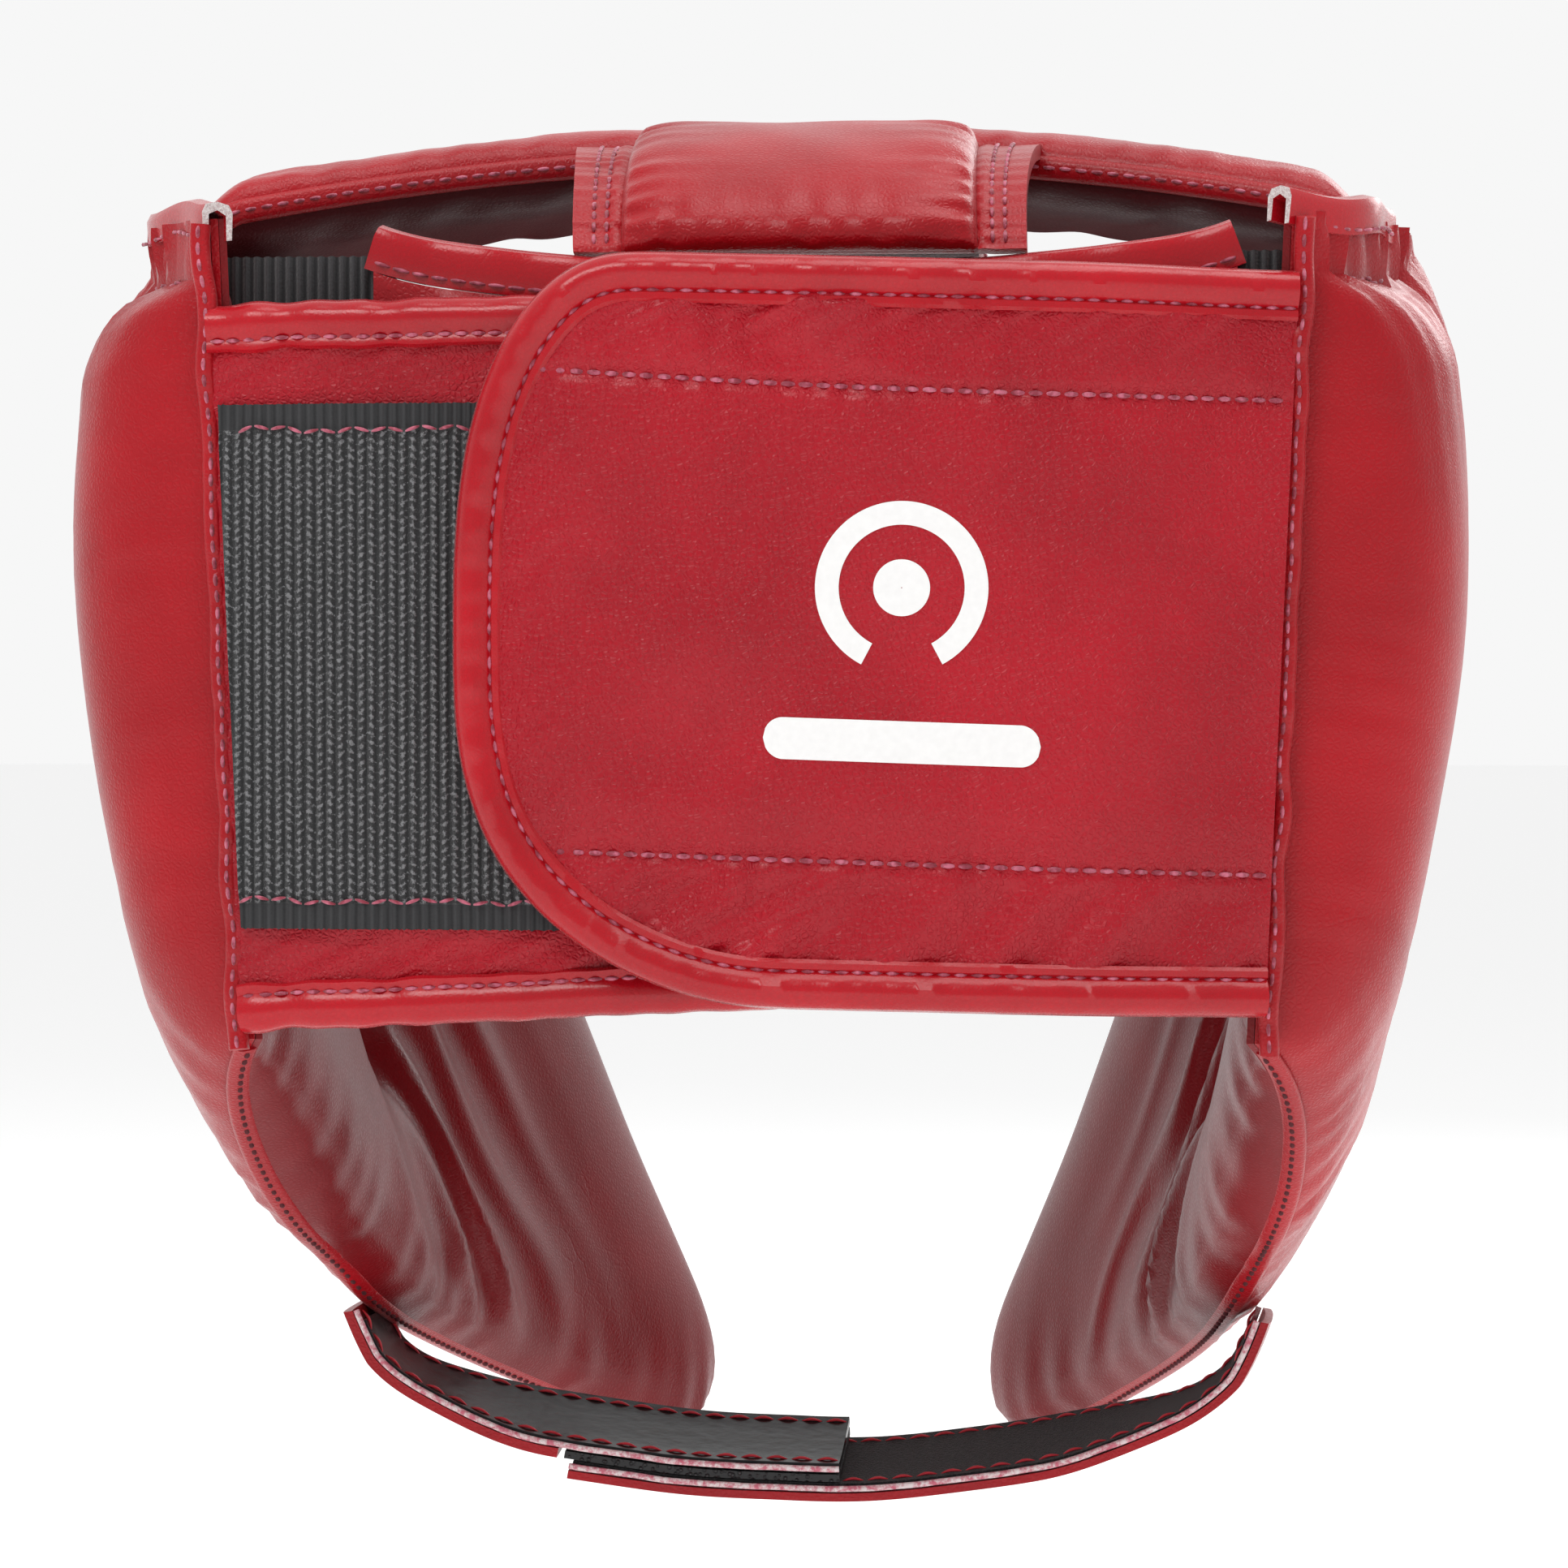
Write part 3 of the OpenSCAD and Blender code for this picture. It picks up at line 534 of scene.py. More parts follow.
# Ear rims: a narrow binding tape folded over the sewn edge of each ear
# opening, through cover, foam and lining.
EAR_RIM_THICK = 6.4
EAR_RIM_WIDTH = 4.2
EAR_RIM_REACH = 1.5
BINDING_RED = (0.52, 0.005, 0.014)
binding_leather = leather("binding_leather", BINDING_RED, grain=0.25, creases=0.4, gloss=0.22, coat=0.3)


def along(path):
    step = np.gradient(path, axis=0)
    return step / np.linalg.norm(step, axis=1)[:, None]


def sweep(name, path, normals, profile, skin, closed=False, end=None):
    """A closed tube: profile points are [outwards along the normals, sideways]."""
    t = along(path)
    if closed:
        t = np.roll(path, -1, 0) - np.roll(path, 1, 0)
        t /= np.linalg.norm(t, axis=1)[:, None]
    normals = np.broadcast_to(normals, path.shape)
    n = normals - (normals * t).sum(1)[:, None] * t
    n /= np.linalg.norm(n, axis=1)[:, None]
    b = np.cross(t, n)
    profile = np.asarray(profile, float)
    if profile.ndim == 2:
        profile = np.repeat(profile[None], len(path), 0)
    rings = path[:, None] + n[:, None] * profile[..., :1] + b[:, None] * profile[..., 1:]
    count, m = rings.shape[:2]
    faces, slots = [], []
    for k in range(count if closed else count - 1):
        for s in range(m):
            q, r = (k + 1) % count, (s + 1) % m
            faces.append((k * m + s, k * m + r, q * m + r, q * m + s))
            slots.append(0)
    if not closed:
        faces += [tuple(range(m)), tuple((count - 1) * m + s for s in range(m))]
        slots += [1, 1]
    return mesh_object(name, rings.reshape(-1, 3), faces, [skin, end or skin], slots)


def oval(height, width, power=2.6, count=16):
    angle = np.linspace(0, 2 * math.pi, count, endpoint=False)
    c, s = np.cos(angle), np.sin(angle)
    return np.stack([np.sign(c) * np.abs(c) ** (2 / power) * height / 2,
                     np.sign(s) * np.abs(s) ** (2 / power) * width / 2], -1)


for side in ("left", "right"):
    turn = np.linspace(0, 2 * math.pi, 72, endpoint=False)
    ring_i = (EAR_CELLS[0] + EAR_CELLS[1]) / 2 + EAR_RIM_REACH * np.cos(turn) * EAR_HALF[0] / EAR_SPAN[0]
    ring_j = (EAR_CELLS[2] + EAR_CELLS[3]) / 2 + EAR_RIM_REACH * np.sin(turn) * EAR_HALF[1] / EAR_SPAN[1]
    p, z = side_pz(ring_i / CELLS[0], ring_j / CELLS[1])
    path = wall_point(p, z, side_seam_off(p, z)) * mirror[side]
    normals = wall_point(p, z, side_seam_off(p, z) + 1) * mirror[side] - path
    rim = sweep(f"ear_rim.{side}", path, normals, oval(EAR_RIM_THICK, EAR_RIM_WIDTH), binding_leather,
                closed=True)
    fit(rim, "shell", "binding", f"{side}_ear_rim")


# Gathered necks: the folded tape on top of each side pad's rear corner. It
# closes the pleats of cover and lining, and its cut ends show their fuzz.
NECK_TAPE = [
    (-1.5, -2.3), (2.2, -2.5), (3.4, -1.9), (3.8, 0.0), (3.3, 1.9), (2.1, 2.5), (-2.0, 2.4), (-2.1, 1.5),
    (1.7, 1.4), (2.5, 0.0), (1.9, -1.4), (-1.4, -1.4),
]
THREAD = 0.28
UP, BACK = (0.0, 0.0, 1.0), (0.0, 1.0, 0.0)


def paint_raw_edge(place):
    fuzz = place.noise(2400.0, 3.0, 0.7)
    return {"Base Color": fuzz.step(0.3, 0.7).tint(rgb(0.55, 0.42, 0.42), rgb(0.86, 0.82, 0.8)),
            "Normal": bump(place, fuzz, 0.0004)}


raw_edge = finish("raw_edge", paint_raw_edge, Roughness=0.9, Specular_IOR_Level=0.2)


def paint_thread(place):
    twist = place.noise(700.0, 2.0).step(0.35, 0.7)
    return {"Base Color": twist.tint(rgb(0.26, 0.012, 0.035), rgb(0.62, 0.14, 0.22)),
            "Normal": bump(place, place.noise(5200.0), 0.0001)}


thread_finish = finish("thread", paint_thread, Roughness=0.5, Sheen_Weight=0.4)


def stitches(name, path, normals, lift, pitch, thread=THREAD, skin=thread_finish, zigzag=0.0):
    """A row of thread stitches laid on a line, each dipping into its holes."""
    normals = np.broadcast_to(normals, path.shape)
    steps = np.linalg.norm(np.diff(path, axis=0), axis=1)
    length = np.concatenate([[0], np.cumsum(steps)])
    count = max(1, int(length[-1] / pitch))
    rings, sides = 6, 6
    turn = np.linspace(0, 2 * math.pi, sides, endpoint=False)
    points, faces = [], []
    for k in range(count):
        at = (k + 0.08 + 0.84 * np.linspace(0, 1, rings)) * length[-1] / count
        mid = np.stack([np.interp(at, length, path[:, c]) for c in range(3)], -1)
        n = np.stack([np.interp(at, length, normals[:, c]) for c in range(3)], -1)
        t = along(mid)
        n /= np.linalg.norm(n, axis=1)[:, None]
        b = np.cross(t, n)
        bow = np.sin(np.linspace(0, math.pi, rings))
        side = zigzag * np.linspace(-1, 1, rings) * (1 if k % 2 else -1)
        mid = mid + n * (lift + thread * (1.5 * bow - 0.9))[:, None] + b * side[:, None]
        size = thread * (0.45 + 0.55 * bow)
        start = len(points)
        for r in range(rings):
            ring = mid[r] + size[r] * (np.cos(turn)[:, None] * n[r] + np.sin(turn)[:, None] * b[r] * 1.25)
            points.extend(ring)
        for r in range(rings - 1):
            for s in range(sides):
                q = (s + 1) % sides
                faces.append((start + r * sides + s, start + r * sides + q,
                              start + (r + 1) * sides + q, start + (r + 1) * sides + s))
        faces.append(tuple(start + s for s in range(sides)))
        faces.append(tuple(start + (rings - 1) * sides + s for s in range(sides)))
    return mesh_object(name, points, faces, [skin], smooth_to=80)


for side, seed in (("left", 5), ("right", 9)):
    p = np.linspace(-1.5, 30, 44)
    z = SIDE_TOP - 0.6 + 0.7 * np.sin(p / 3.4 + seed) * np.exp(-p / 40)
    wander = 1.5 * np.sin(p / 5.2 + 0.6 * seed) * np.exp(-((p - 3) / 26) ** 2)
    path = wall_point(p, z, side_seam_off(p, z) + wander) * mirror[side]
    tape = sweep(f"neck_binding.{side}", path, UP, NECK_TAPE, binding_leather, end=raw_edge)
    fit(tape, "shell", "binding", f"{side}_neck_binding")
    outer = wall_point(p, z - 1.2, side_seam_off(p, z) + wander + 3.05) * mirror[side]
    out_way = wall_point(p, z, 10.0) * mirror[side] - wall_point(p, z, 9.0) * mirror[side]
    fit(stitches(f"neck_stitches.{side}", outer[3:-8], out_way[3:-8], -0.25, 2.6), "shell", "binding")
    hem_p = np.linspace(2, 21, 60)
    hem_z = SIDE_TOP - neck_at(hem_p) + 0.6 + 0.3 * np.sin(hem_p)
    hem = wall_point(hem_p, hem_z, side_seam_off(hem_p, hem_z) + 2.1) * mirror[side]
    hem_out = wall_point(hem_p, hem_z, 10.0) * mirror[side] - wall_point(hem_p, hem_z, 9.0) * mirror[side]
    fit(stitches(f"hem_stitches.{side}", hem, hem_out, 0.0, 2.7), "shell", "binding")


# Rear seams: the narrow upright flange where a side pad meets the closure,
# top-stitched along its length and knotted off at its foot.
SEAM_FLANGE_WIDE = 3.0
CLOSURE_RADIUS = 600.0
CLOSURE_BACK = 84.7


def closure_y(x):
    return CLOSURE_BACK - CLOSURE_RADIUS + np.sqrt(CLOSURE_RADIUS ** 2 - np.asarray(x, float) ** 2)


for side, seed in (("left", 21), ("right", 33)):
    z = np.linspace(REAR_LOW - 1.5, SIDE_TOP - 1, 150)
    x = seam_x(z) + 1.6 + 0.25 * waves(z, 17, seed)
    path = np.stack([x, REAR_SEAM_Y + 2.1 + 0.2 * waves(z, 9, seed + 1), z], -1) * mirror[side]
    flange = sweep(f"rear_seam.{side}", path, BACK, oval(3.6, SEAM_FLANGE_WIDE, 3.0), cover_leather)
    fit(flange, "shell", "binding", f"{side}_rear_seam")
    fit(stitches(f"rear_seam_stitches.{side}", path, BACK, 1.85, 2.5), "shell", "binding")


# Lower rear seam of each side pad: the edge from the closure's foot to the
# jaw corner, closed by close machine stitches coloured near black as painted
# shade of their needle holes.
def paint_hole_shade(place):
    return {"Base Color": place.noise(900.0).tint(rgb(0.05, 0.003, 0.006), rgb(0.1, 0.006, 0.01))}


# Near-black stitches: painted shade in the needle holes.
hole_shade = finish("hole_shade", paint_hole_shade, Roughness=0.8)
for side in ("left", "right"):
    u = np.linspace(0.01, 0.985, 260)
    p = u * side_front(np.zeros_like(u))
    z = side_low(u) + 0.1
    path = wall_point(p, z, side_seam_off(p, z)) * mirror[side]
    downwards = wall_point(p, z - 1, side_seam_off(p, z)) * mirror[side] - path
    piping = sweep(f"low_seam.{side}", path, downwards, oval(1.8, 4.0, 2.4), cover_leather)
    fit(piping, "shell", "leather")
    rows = stitches(f"low_seam_stitches.{side}", path, downwards, 0.85, 2.2, 0.4, hole_shade)
    fit(rows, "shell", "binding")


# Forehead pad: foam between leather cover and lining, sewn to the side pads
# at the temples; its brow edge closes the face opening from above.
FOREHEAD_THICK = 30.0
FOREHEAD_TOP = 92.0
BROW_Z = 6.0
TEMPLE_GAP = 0.7


def face_point(angle, z, off):
    turned = np.minimum(angle, 180 - angle)
    q = wall_point(path_of(turned), z, off)
    q[..., 0] *= np.where(angle <= 90, 1, -1)
    return q


s, v = grid((0, 1, 151), (0, 1, 81))
angle = mix(TEMPLE_ANGLE + TEMPLE_GAP, 180 - TEMPLE_ANGLE - TEMPLE_GAP, s)
middle = np.sin(math.pi * s)
brow = BROW_Z + 3 - 3 * middle
top = mix(SIDE_TOP, FOREHEAD_TOP, middle)
z = mix(brow, top, v)
from_side = np.radians(np.minimum(angle, 180 - angle) - TEMPLE_ANGLE) * HEAD_FRONT
full = puff(from_side, 30) * puff(z - brow, 24) * puff(top - z, 26)
seam_off = mix(seam_bulge(z), 12, middle)
inner = seam_off * (1 - full) - EDGE_THICK / 2
thick = EDGE_THICK + (FOREHEAD_THICK - EDGE_THICK) * full
held = clamp01(np.minimum(np.minimum(from_side, z - brow), top - z) / 2)
arc = np.radians(angle) * HEAD_FRONT
ripple = (0.8 * waves(z, 8, 61) * np.exp(-from_side / 9)
          + 0.8 * waves(arc, 8.5, 62) * np.exp(-(z - brow) / 9)
          + 0.8 * waves(arc, 8, 63) * np.exp(-(top - z) / 10) + 0.2 * waves(arc, 60, 64) * waves(z, 50, 65))
outer = inner + thick + ripple * held
liner = inner + 0.8 * np.abs(waves(arc + z, 24, 66)) * held
pad("forehead", PAD_ENDS, "forehead", lambda off: face_point(angle, z, off), liner, outer,
    core_above(liner, outer), lining_leather, (0.85, 0.6, 0.9))
for side in ("left", "right"):
    z = np.linspace(BROW_Z + 2, SIDE_TOP - 1, 90)
    off = seam_bulge(z)
    path = wall_point(path_of(TEMPLE_ANGLE + TEMPLE_GAP / 2), z, off) * mirror[side]
    out_way = wall_point(path_of(TEMPLE_ANGLE), z, off + 1) * mirror[side] - path
    fit(sweep(f"temple_seam.{side}", path, out_way, oval(3.4, 3.0), cover_leather), "shell", "leather")


# Crown band: the padded bridge from side to side, leather over foam with a
# maroon lining beneath, its long edges top-stitched and its ends sewn inside
# the side pads. The lining is coloured near black as painted shade.
CROWN_Z = 99.5
CROWN_HALF_L = 94.0
CROWN_THICK = 13.0
# Lining of band, crown pad and front strap: maroon darkened as painted shade.
shaded_lining = leather("shaded_lining", (0.09, 0.006, 0.009), grain=0.7, creases=0.6, gloss=0.5, coat=0.05)


def band_z(x):
    return CROWN_Z - 12.5 * (x / 99) ** 2


def band_rear(x):
    return 28 + 20 * (x / 99) ** 2


def band_front(x):
    return -30 + 18 * (x / 99) ** 2


def band_dip(x):
    """How far the band's ends sink to meet the side pads."""
    return 4.0 * smooth((np.abs(x) - 84) / 10)


s, v = grid((-1, 1, 191), (0, 1, 61))
x = s * CROWN_HALF_L
y = mix(band_front(x), band_rear(x), v)
end_gap, edge_gap = CROWN_HALF_L - np.abs(x), np.minimum(y - band_front(x), band_rear(x) - y)
full = puff(end_gap, 16) * puff(edge_gap, 13)
low = band_z(x) - band_dip(x) - EDGE_THICK / 2 - (CROWN_THICK - EDGE_THICK) / 2 * full
thick = EDGE_THICK + (CROWN_THICK - EDGE_THICK) * full
held = clamp01(np.minimum(end_gap, edge_gap) / 2)
ripple = (0.28 * waves(x, 8.5, 71) * np.exp(-edge_gap / 5) + 0.7 * waves(y, 7, 72) * np.exp(-end_gap / 12)
          + 0.12 * waves(x, 37, 73) * waves(y, 25, 74))
sag = 0.5 * waves(x + 0.4 * y, 14, 75) * held * np.exp(-edge_gap / 14)
high = low + thick + ripple * held
pad("crown_band", PAD_ENDS, "crown_band", lambda z: np.stack([x, y, z], -1), low + sag, high,
    core_above(low + sag, high), shaded_lining, (0.7, 0.5, 0.8))
for name, edge, way in (("rear", band_rear, 1.0), ("front", band_front, -1.0)):
    x = np.linspace(-CROWN_HALF_L + 2, CROWN_HALF_L - 2, 220)
    path = np.stack([x, edge(x), band_z(x) - band_dip(x)], -1)
    outwards = (0.0, way, 0.0)
    piping = sweep(f"crown_band_edge.{name}", path, outwards, oval(2.6, 3.9, 2.2), cover_leather)
    fit(piping, "shell", "leather")
    fit(stitches(f"crown_band_stitches.{name}", path, outwards, 1.35, 2.6), "shell", "binding")


# Rear crown pad: a small puffed pad from the band down to the rear panel,
# with a flat flange stitched twice on each side.
CROWN_PAD_W = 54.0
CROWN_PAD_L = 54
CROWN_FLANGE_W = 9.5
CROWN_PAD_THICK = 12.0
CROWN_SHIFT = -4.5
CROWN_TOP = (float(band_rear(abs(CROWN_SHIFT) + CROWN_PAD_W / 2 + CROWN_FLANGE_W)) - 1.0, CROWN_Z)
CROWN_FOOT = (REAR_SEAM_Y - 5, 81.0)
ARC_FROM, ARC_TURN = math.radians(8), math.radians(66)


def crown_arc(x, t, off, side=1):
    """A point of the rear crown, t of the way down it and off outwards."""
    x = CROWN_SHIFT - 2.5 * t + side * x
    a = ARC_FROM + ARC_TURN * t
    end = ARC_FROM + ARC_TURN
    across = (np.sin(a) - math.sin(ARC_FROM)) / (math.sin(end) - math.sin(ARC_FROM))
    down = (math.cos(ARC_FROM) - np.cos(a)) / (math.cos(ARC_FROM) - math.cos(end))
    y = mix(CROWN_TOP[0], CROWN_FOOT[0], across) + off * np.sin(a)
    z = mix(CROWN_TOP[1], CROWN_FOOT[1], down) + off * np.cos(a)
    return np.stack(np.broadcast_arrays(x, y, z), -1)


s, t = grid((-1, 1, 91), (0, 1, 81))
x = s * CROWN_PAD_W / 2
from_side, from_top, from_low = CROWN_PAD_W / 2 - np.abs(x), CROWN_PAD_L * t, CROWN_PAD_L * (1 - t)
full = puff(from_side, 9) * puff(from_top, 8) * puff(from_low, 10)
held = clamp01(np.minimum(np.minimum(from_side, from_top), from_low) / 1.5)
ripple = (0.7 * waves(CROWN_PAD_L * t, 6.5, 81) * np.exp(-from_side / 5)
          + 0.5 * waves(x, 7, 82) * np.exp(-from_low / 7)
          + 0.1 * waves(x + 50 * t, 22, 83))
low = -EDGE_THICK / 2 - 4.5 * full
thick = EDGE_THICK + (CROWN_PAD_THICK - EDGE_THICK) * full
high = low + thick + ripple * held
pad("crown_pad", PAD_ENDS, "crown_pad", lambda off: crown_arc(x, t, off), low, high, low + SKIN + 0.1,
    shaded_lining, (0.85, 0.5, 0.9))


def flange_x(w, t):
    """Across a flange of the crown pad, from the pad's side, 0, to its free edge."""
    return CROWN_PAD_W / 2 - 0.6 + w * (CROWN_FLANGE_W + 0.9 - 2.4 * t ** 2 - 1.2 * np.sin(math.pi * t))


for side, seed in (("left", 85), ("right", 88)):
    w, t = grid((0, 1, 17), (0, 1, 90))
    x = flange_x(w, t)
    rumple = 0.25 * waves(CROWN_PAD_L * t, 6, seed) * (1 - 0.5 * w)
    lift = rumple + 0.5 * w + 0.45 * np.exp(-((w - 0.2) / 0.12) ** 2)
    way = mirror[side][0]
    flange = grid_slab(f"crown_flange.{side}", crown_arc(x, t, lift - 1.3, way),
                       crown_arc(x, t, lift + 1.1, way), cover_leather)
    fit(flange, "shell", "leather", f"crown_flange_{side}")
    t = np.linspace(0.03, 0.97, 90)
    for row, w in (("inner", 0.36), ("outer", 0.6)):
        x = flange_x(w, t)
        path = crown_arc(x, t, 1.1 + 0.5 * w, way)
        outwards = crown_arc(x, t, 2.1 + 0.5 * w, way) - path
        line = stitches(f"crown_flange_stitches.{side}.{row}", path, outwards, 0.2, 2.6)
        fit(line, "shell", "leather")


# Front crown strap: a flat padded strap of leather over foam, sewn to the
# front of the band and to the top of the forehead pad.
FRONT_STRAP_W = 46.0
FRONT_STRAP_L = 76
FRONT_STRAP_THICK = 9.0
FRONT_Y = (float(band_front(0)) + 0.4, EAR_LINE_Y - float(wall_depth(np.array(FOREHEAD_TOP))) - 12)
FRONT_Z = (CROWN_Z, FOREHEAD_TOP + 2.2)


def front_strap_point(x, t, off):
    y = mix(FRONT_Y[0], FRONT_Y[1], t)
    return np.stack(np.broadcast_arrays(x, y, mix(FRONT_Z[0], FRONT_Z[1], t * t) + off), -1)


s, t = grid((-1, 1, 71), (0, 1, 101))
x = s * FRONT_STRAP_W / 2
from_side, from_end = FRONT_STRAP_W / 2 - np.abs(x), FRONT_STRAP_L * np.minimum(t, 1 - t)
full = puff(from_side, 8) * puff(from_end, 9)
held = clamp01(np.minimum(from_side, from_end) / 1.5)
low = -EDGE_THICK / 2 - 2 * full
thick = EDGE_THICK + (FRONT_STRAP_THICK - EDGE_THICK) * full
high = low + thick + held * (0.5 * waves(FRONT_STRAP_L * t, 8, 91) * np.exp(-from_side / 5)
                             + 0.5 * waves(x, 7, 92) * np.exp(-from_end / 7))
pad("front_strap", PAD_ENDS, "front_strap", lambda off: front_strap_point(x, t, off), low, high,
    low + SKIN + 0.1, shaded_lining, (0.6, 0.4, 0.8))
for side in ("left", "right"):
    t = np.linspace(0.02, 0.98, 90)
    path = front_strap_point(FRONT_STRAP_W / 2 - 0.4, t, 0.0) * mirror[side]
    sideways = (mirror[side][0], 0.0, 0.0)
    piping = sweep(f"front_strap_edge.{side}", path, sideways, oval(2.2, 3.7, 2.2), cover_leather)
    fit(piping, "shell", "leather")
    fit(stitches(f"front_strap_stitches.{side}", path, sideways, 1.15, 3.0), "shell", "binding")


# Inner rear panel: the padded panel that cups the back of the head, bound
# along its top and bottom edges and hung on two elastics.
REAR_ENDS = (-73.0, 58.0)
REAR_MID = sum(REAR_ENDS) / 2
REAR_HALF = (REAR_ENDS[1] - REAR_ENDS[0]) / 2
REAR_BOTTOM = -20.0
REAR_THICK = 9.0
BINDING_RISE = 3.9


def rear_top(x):
    out = np.abs(x - REAR_MID) / REAR_HALF
    return 71.5 + 5.5 * out ** 1.6 + 1.6 * np.exp(-REAR_HALF * (1 - out) / 6)


def rear_y(x):
    return REAR_SEAM_Y - 1.8 - 3 * (x / 80) ** 2


s, v = grid((0, 1, 121), (0, 1, 91))
x = mix(REAR_ENDS[0], REAR_ENDS[1], s)
z = mix(REAR_BOTTOM, rear_top(x), v)
from_side = REAR_HALF - np.abs(x - REAR_MID)
from_edge = np.minimum(z - REAR_BOTTOM, rear_top(x) - z)
full = puff(from_side, 16) * puff(from_edge, 16)
held = clamp01(np.minimum(from_side, from_edge) / 2)
near = rear_y(x) - 2 - (REAR_THICK - EDGE_THICK) * full * 0.8 - EDGE_THICK / 2
far = near + EDGE_THICK + (REAR_THICK - EDGE_THICK) * full
near = near - held * (0.6 * waves(z, 9, 95) * np.exp(-from_side / 8)
                      + 0.6 * waves(x, 9, 96) * np.exp(-from_edge / 8))
far = far + held * 0.4 * waves(x + z, 18, 97) * np.exp(-from_edge / 12)
pad("rear_panel", PAD_ENDS, "rear_panel", lambda y: np.stack([x, y, z], -1), near, far,
    near + SKIN + 0.1, lining_leather, (0.5, 0.5, 0.8), edge=raw_edge)
BINDING_TAPE = [
    (-3.6, -1.5), (1.6, -2.3), (3.0, -1.6), (3.5, 0.0), (3.0, 1.6), (1.6, 2.3), (-3.6, 1.5),
]
x = np.linspace(REAR_ENDS[0], REAR_ENDS[1], 130)
bound = {"top": rear_top(x) + BINDING_RISE, "bottom": REAR_BOTTOM - BINDING_RISE + 0 * x}
for name, up in (("top", 1.0), ("bottom", -1.0)):
    path = np.stack([x, rear_y(x) - 2 + 0.3 * waves(x, 23, 98), bound[name]], -1)
    tape = sweep(f"rear_panel_{name}_binding.tape", path, (0.0, 0.0, up), BINDING_TAPE, binding_leather,
                 end=raw_edge)
    fit(tape, "shell", "binding", f"rear_panel_{name}_binding")
    low_row = path + np.array([0.0, 1.75, -2.4 * up])
    fit(stitches(f"rear_panel_{name}_stitches", low_row, BACK, 0.15, 3.0), "shell", "binding")


# Elastics: two pieces of black ribbed webbing, sewn to the ends of the rear
# panel, that pull it to each side pad.
ELASTIC_Z = (30.0, 81.0)
ELASTIC_RIB = 1.65


def paint_elastic(place):
    rib = (place.axis("X") * (2 * math.pi / (ELASTIC_RIB * MM))).sine() * 0.5 + 0.5
    fuzz = place.noise(3000.0, 2.0)
    return {"Base Color": (rib * 0.7 + fuzz * 0.3).tint(rgb(0.008, 0.008, 0.009), rgb(0.055, 0.055, 0.058)),
            "Normal": bump(place, rib + fuzz * 0.3, 0.0004)}


elastic_finish = finish("elastic", paint_elastic, Roughness=0.75, Sheen_Weight=0.3, Specular_IOR_Level=0.3)
for name, ends in (("left", (REAR_ENDS[1] - 3, 81.0)), ("right", (-81.0, REAR_ENDS[0] + 3))):
    s, v = grid((0, 1, 161), (0, 1, 31))
    x = mix(ends[0], ends[1], s)
    rib = 0.5 + 0.5 * np.sin(2 * math.pi * x / ELASTIC_RIB)
    z = mix(ELASTIC_Z[0], ELASTIC_Z[1], v) + 0.35 * rib * (v - 0.5)
    y = rear_y(75) - 2.2 + 0 * x
    web = grid_slab(f"elastic_{name}.web", np.stack([x, y - 0.9 - 0.2 * rib, z], -1),
                    np.stack([x, y + 0.6 + 0.35 * rib, z], -1), elastic_finish)
    fit(web, "shell", "elastic", f"elastic_{name}")


# Base panel: the leather half of the closure, sewn into the left rear seam,
# bound along its top and bottom edges, with the wide loop patch stitched on.
BASE_FREE_X = -22.0
BASE_THICK = 2.4
BINDING_W = 7.0
SEAM_INSET = 0.2
TAPE_THICK = 1.6
LOOP_LOW, LOOP_HIGH = -21.0, 58.0
FLAP_RED = (0.47, 0.005, 0.017)
flap_leather = leather("flap_leather", FLAP_RED, grain=2.4, creases=1.0, gloss=0.29, coat=0.14)


def base_top(x):
    return 73 + 0.016 * (80 - x)


def base_bottom(x):
    return -36.6 + 0.052 * (80 - x)


def closure_point(x, depth, z):
    return np.stack(np.broadcast_arrays(x, closure_y(x) + depth, z), -1)


s, v = grid((0, 1, 121), (0, 1, 121))
x = mix(seam_x(20) - SEAM_INSET, BASE_FREE_X, s)
z = mix(base_bottom(x) + BINDING_W - 1.5, base_top(x) - BINDING_W + 1.5, v)
x = mix(seam_x(z) + 0.8, BASE_FREE_X, s)
bare = clamp01(np.maximum(z - LOOP_HIGH, LOOP_LOW - z) / 4)
swell = bare * (0.55 * waves(x, 26, 101) * smooth((76 - x) / 12) + 0.25 * waves(x + 2 * z, 9, 102) - 0.25)
sheet = grid_slab("base_panel.sheet", closure_point(x, 0.0, z), closure_point(x, BASE_THICK + swell, z),
                  flap_leather, raw_edge)
fit(sheet, "base", "leather", "base_panel")
BOUND_EDGE = [
    (-1.0, -3.6), (2.9, -3.65), (3.4, -3.2), (3.3, -2.3), (3.05, -1.9), (3.5, -1.3), (4.1, 0.2), (3.9, 1.9),
    (2.9, 3.1), (1.3, 3.7), (-0.3, 3.2), (-1.0, 1.6),
]
for name, edge, up in (("top", base_top, 1.0), ("bottom", base_bottom, -1.0)):
    x = np.linspace(seam_x(edge(80.0)) + 0.6, BASE_FREE_X, 160)[:: int(up)]
    swelled = 1 + 0.05 * waves(x, 11, 103)[:, None, None]
    path = closure_point(x, 0.0, edge(x) - up * (BINDING_W / 2 - 0.2) + 0.15 * waves(x, 30, 104))
    profile = np.array(BOUND_EDGE)[None] * [1.0, -1.0] * swelled
    tape = sweep(f"base_{name}_binding.tape", path, BACK, profile, binding_leather, end=raw_edge)
    fit(tape, "base", "binding", f"base_{name}_binding")
    row = path + np.array([0.0, 3.0, -1.9 * up])
    fit(stitches(f"base_{name}_stitches", row, BACK, 0.3, 2.5), "base", "binding")


# Loop patch: black woven tape with its loops standing in upright rows, a
# plain selvedge above and below, and a stitch line near each long edge.
LOOP_MID = (LOOP_LOW + LOOP_HIGH) / 2
LOOP_ROW = 1.6
LOOP_FIELD = 34.8


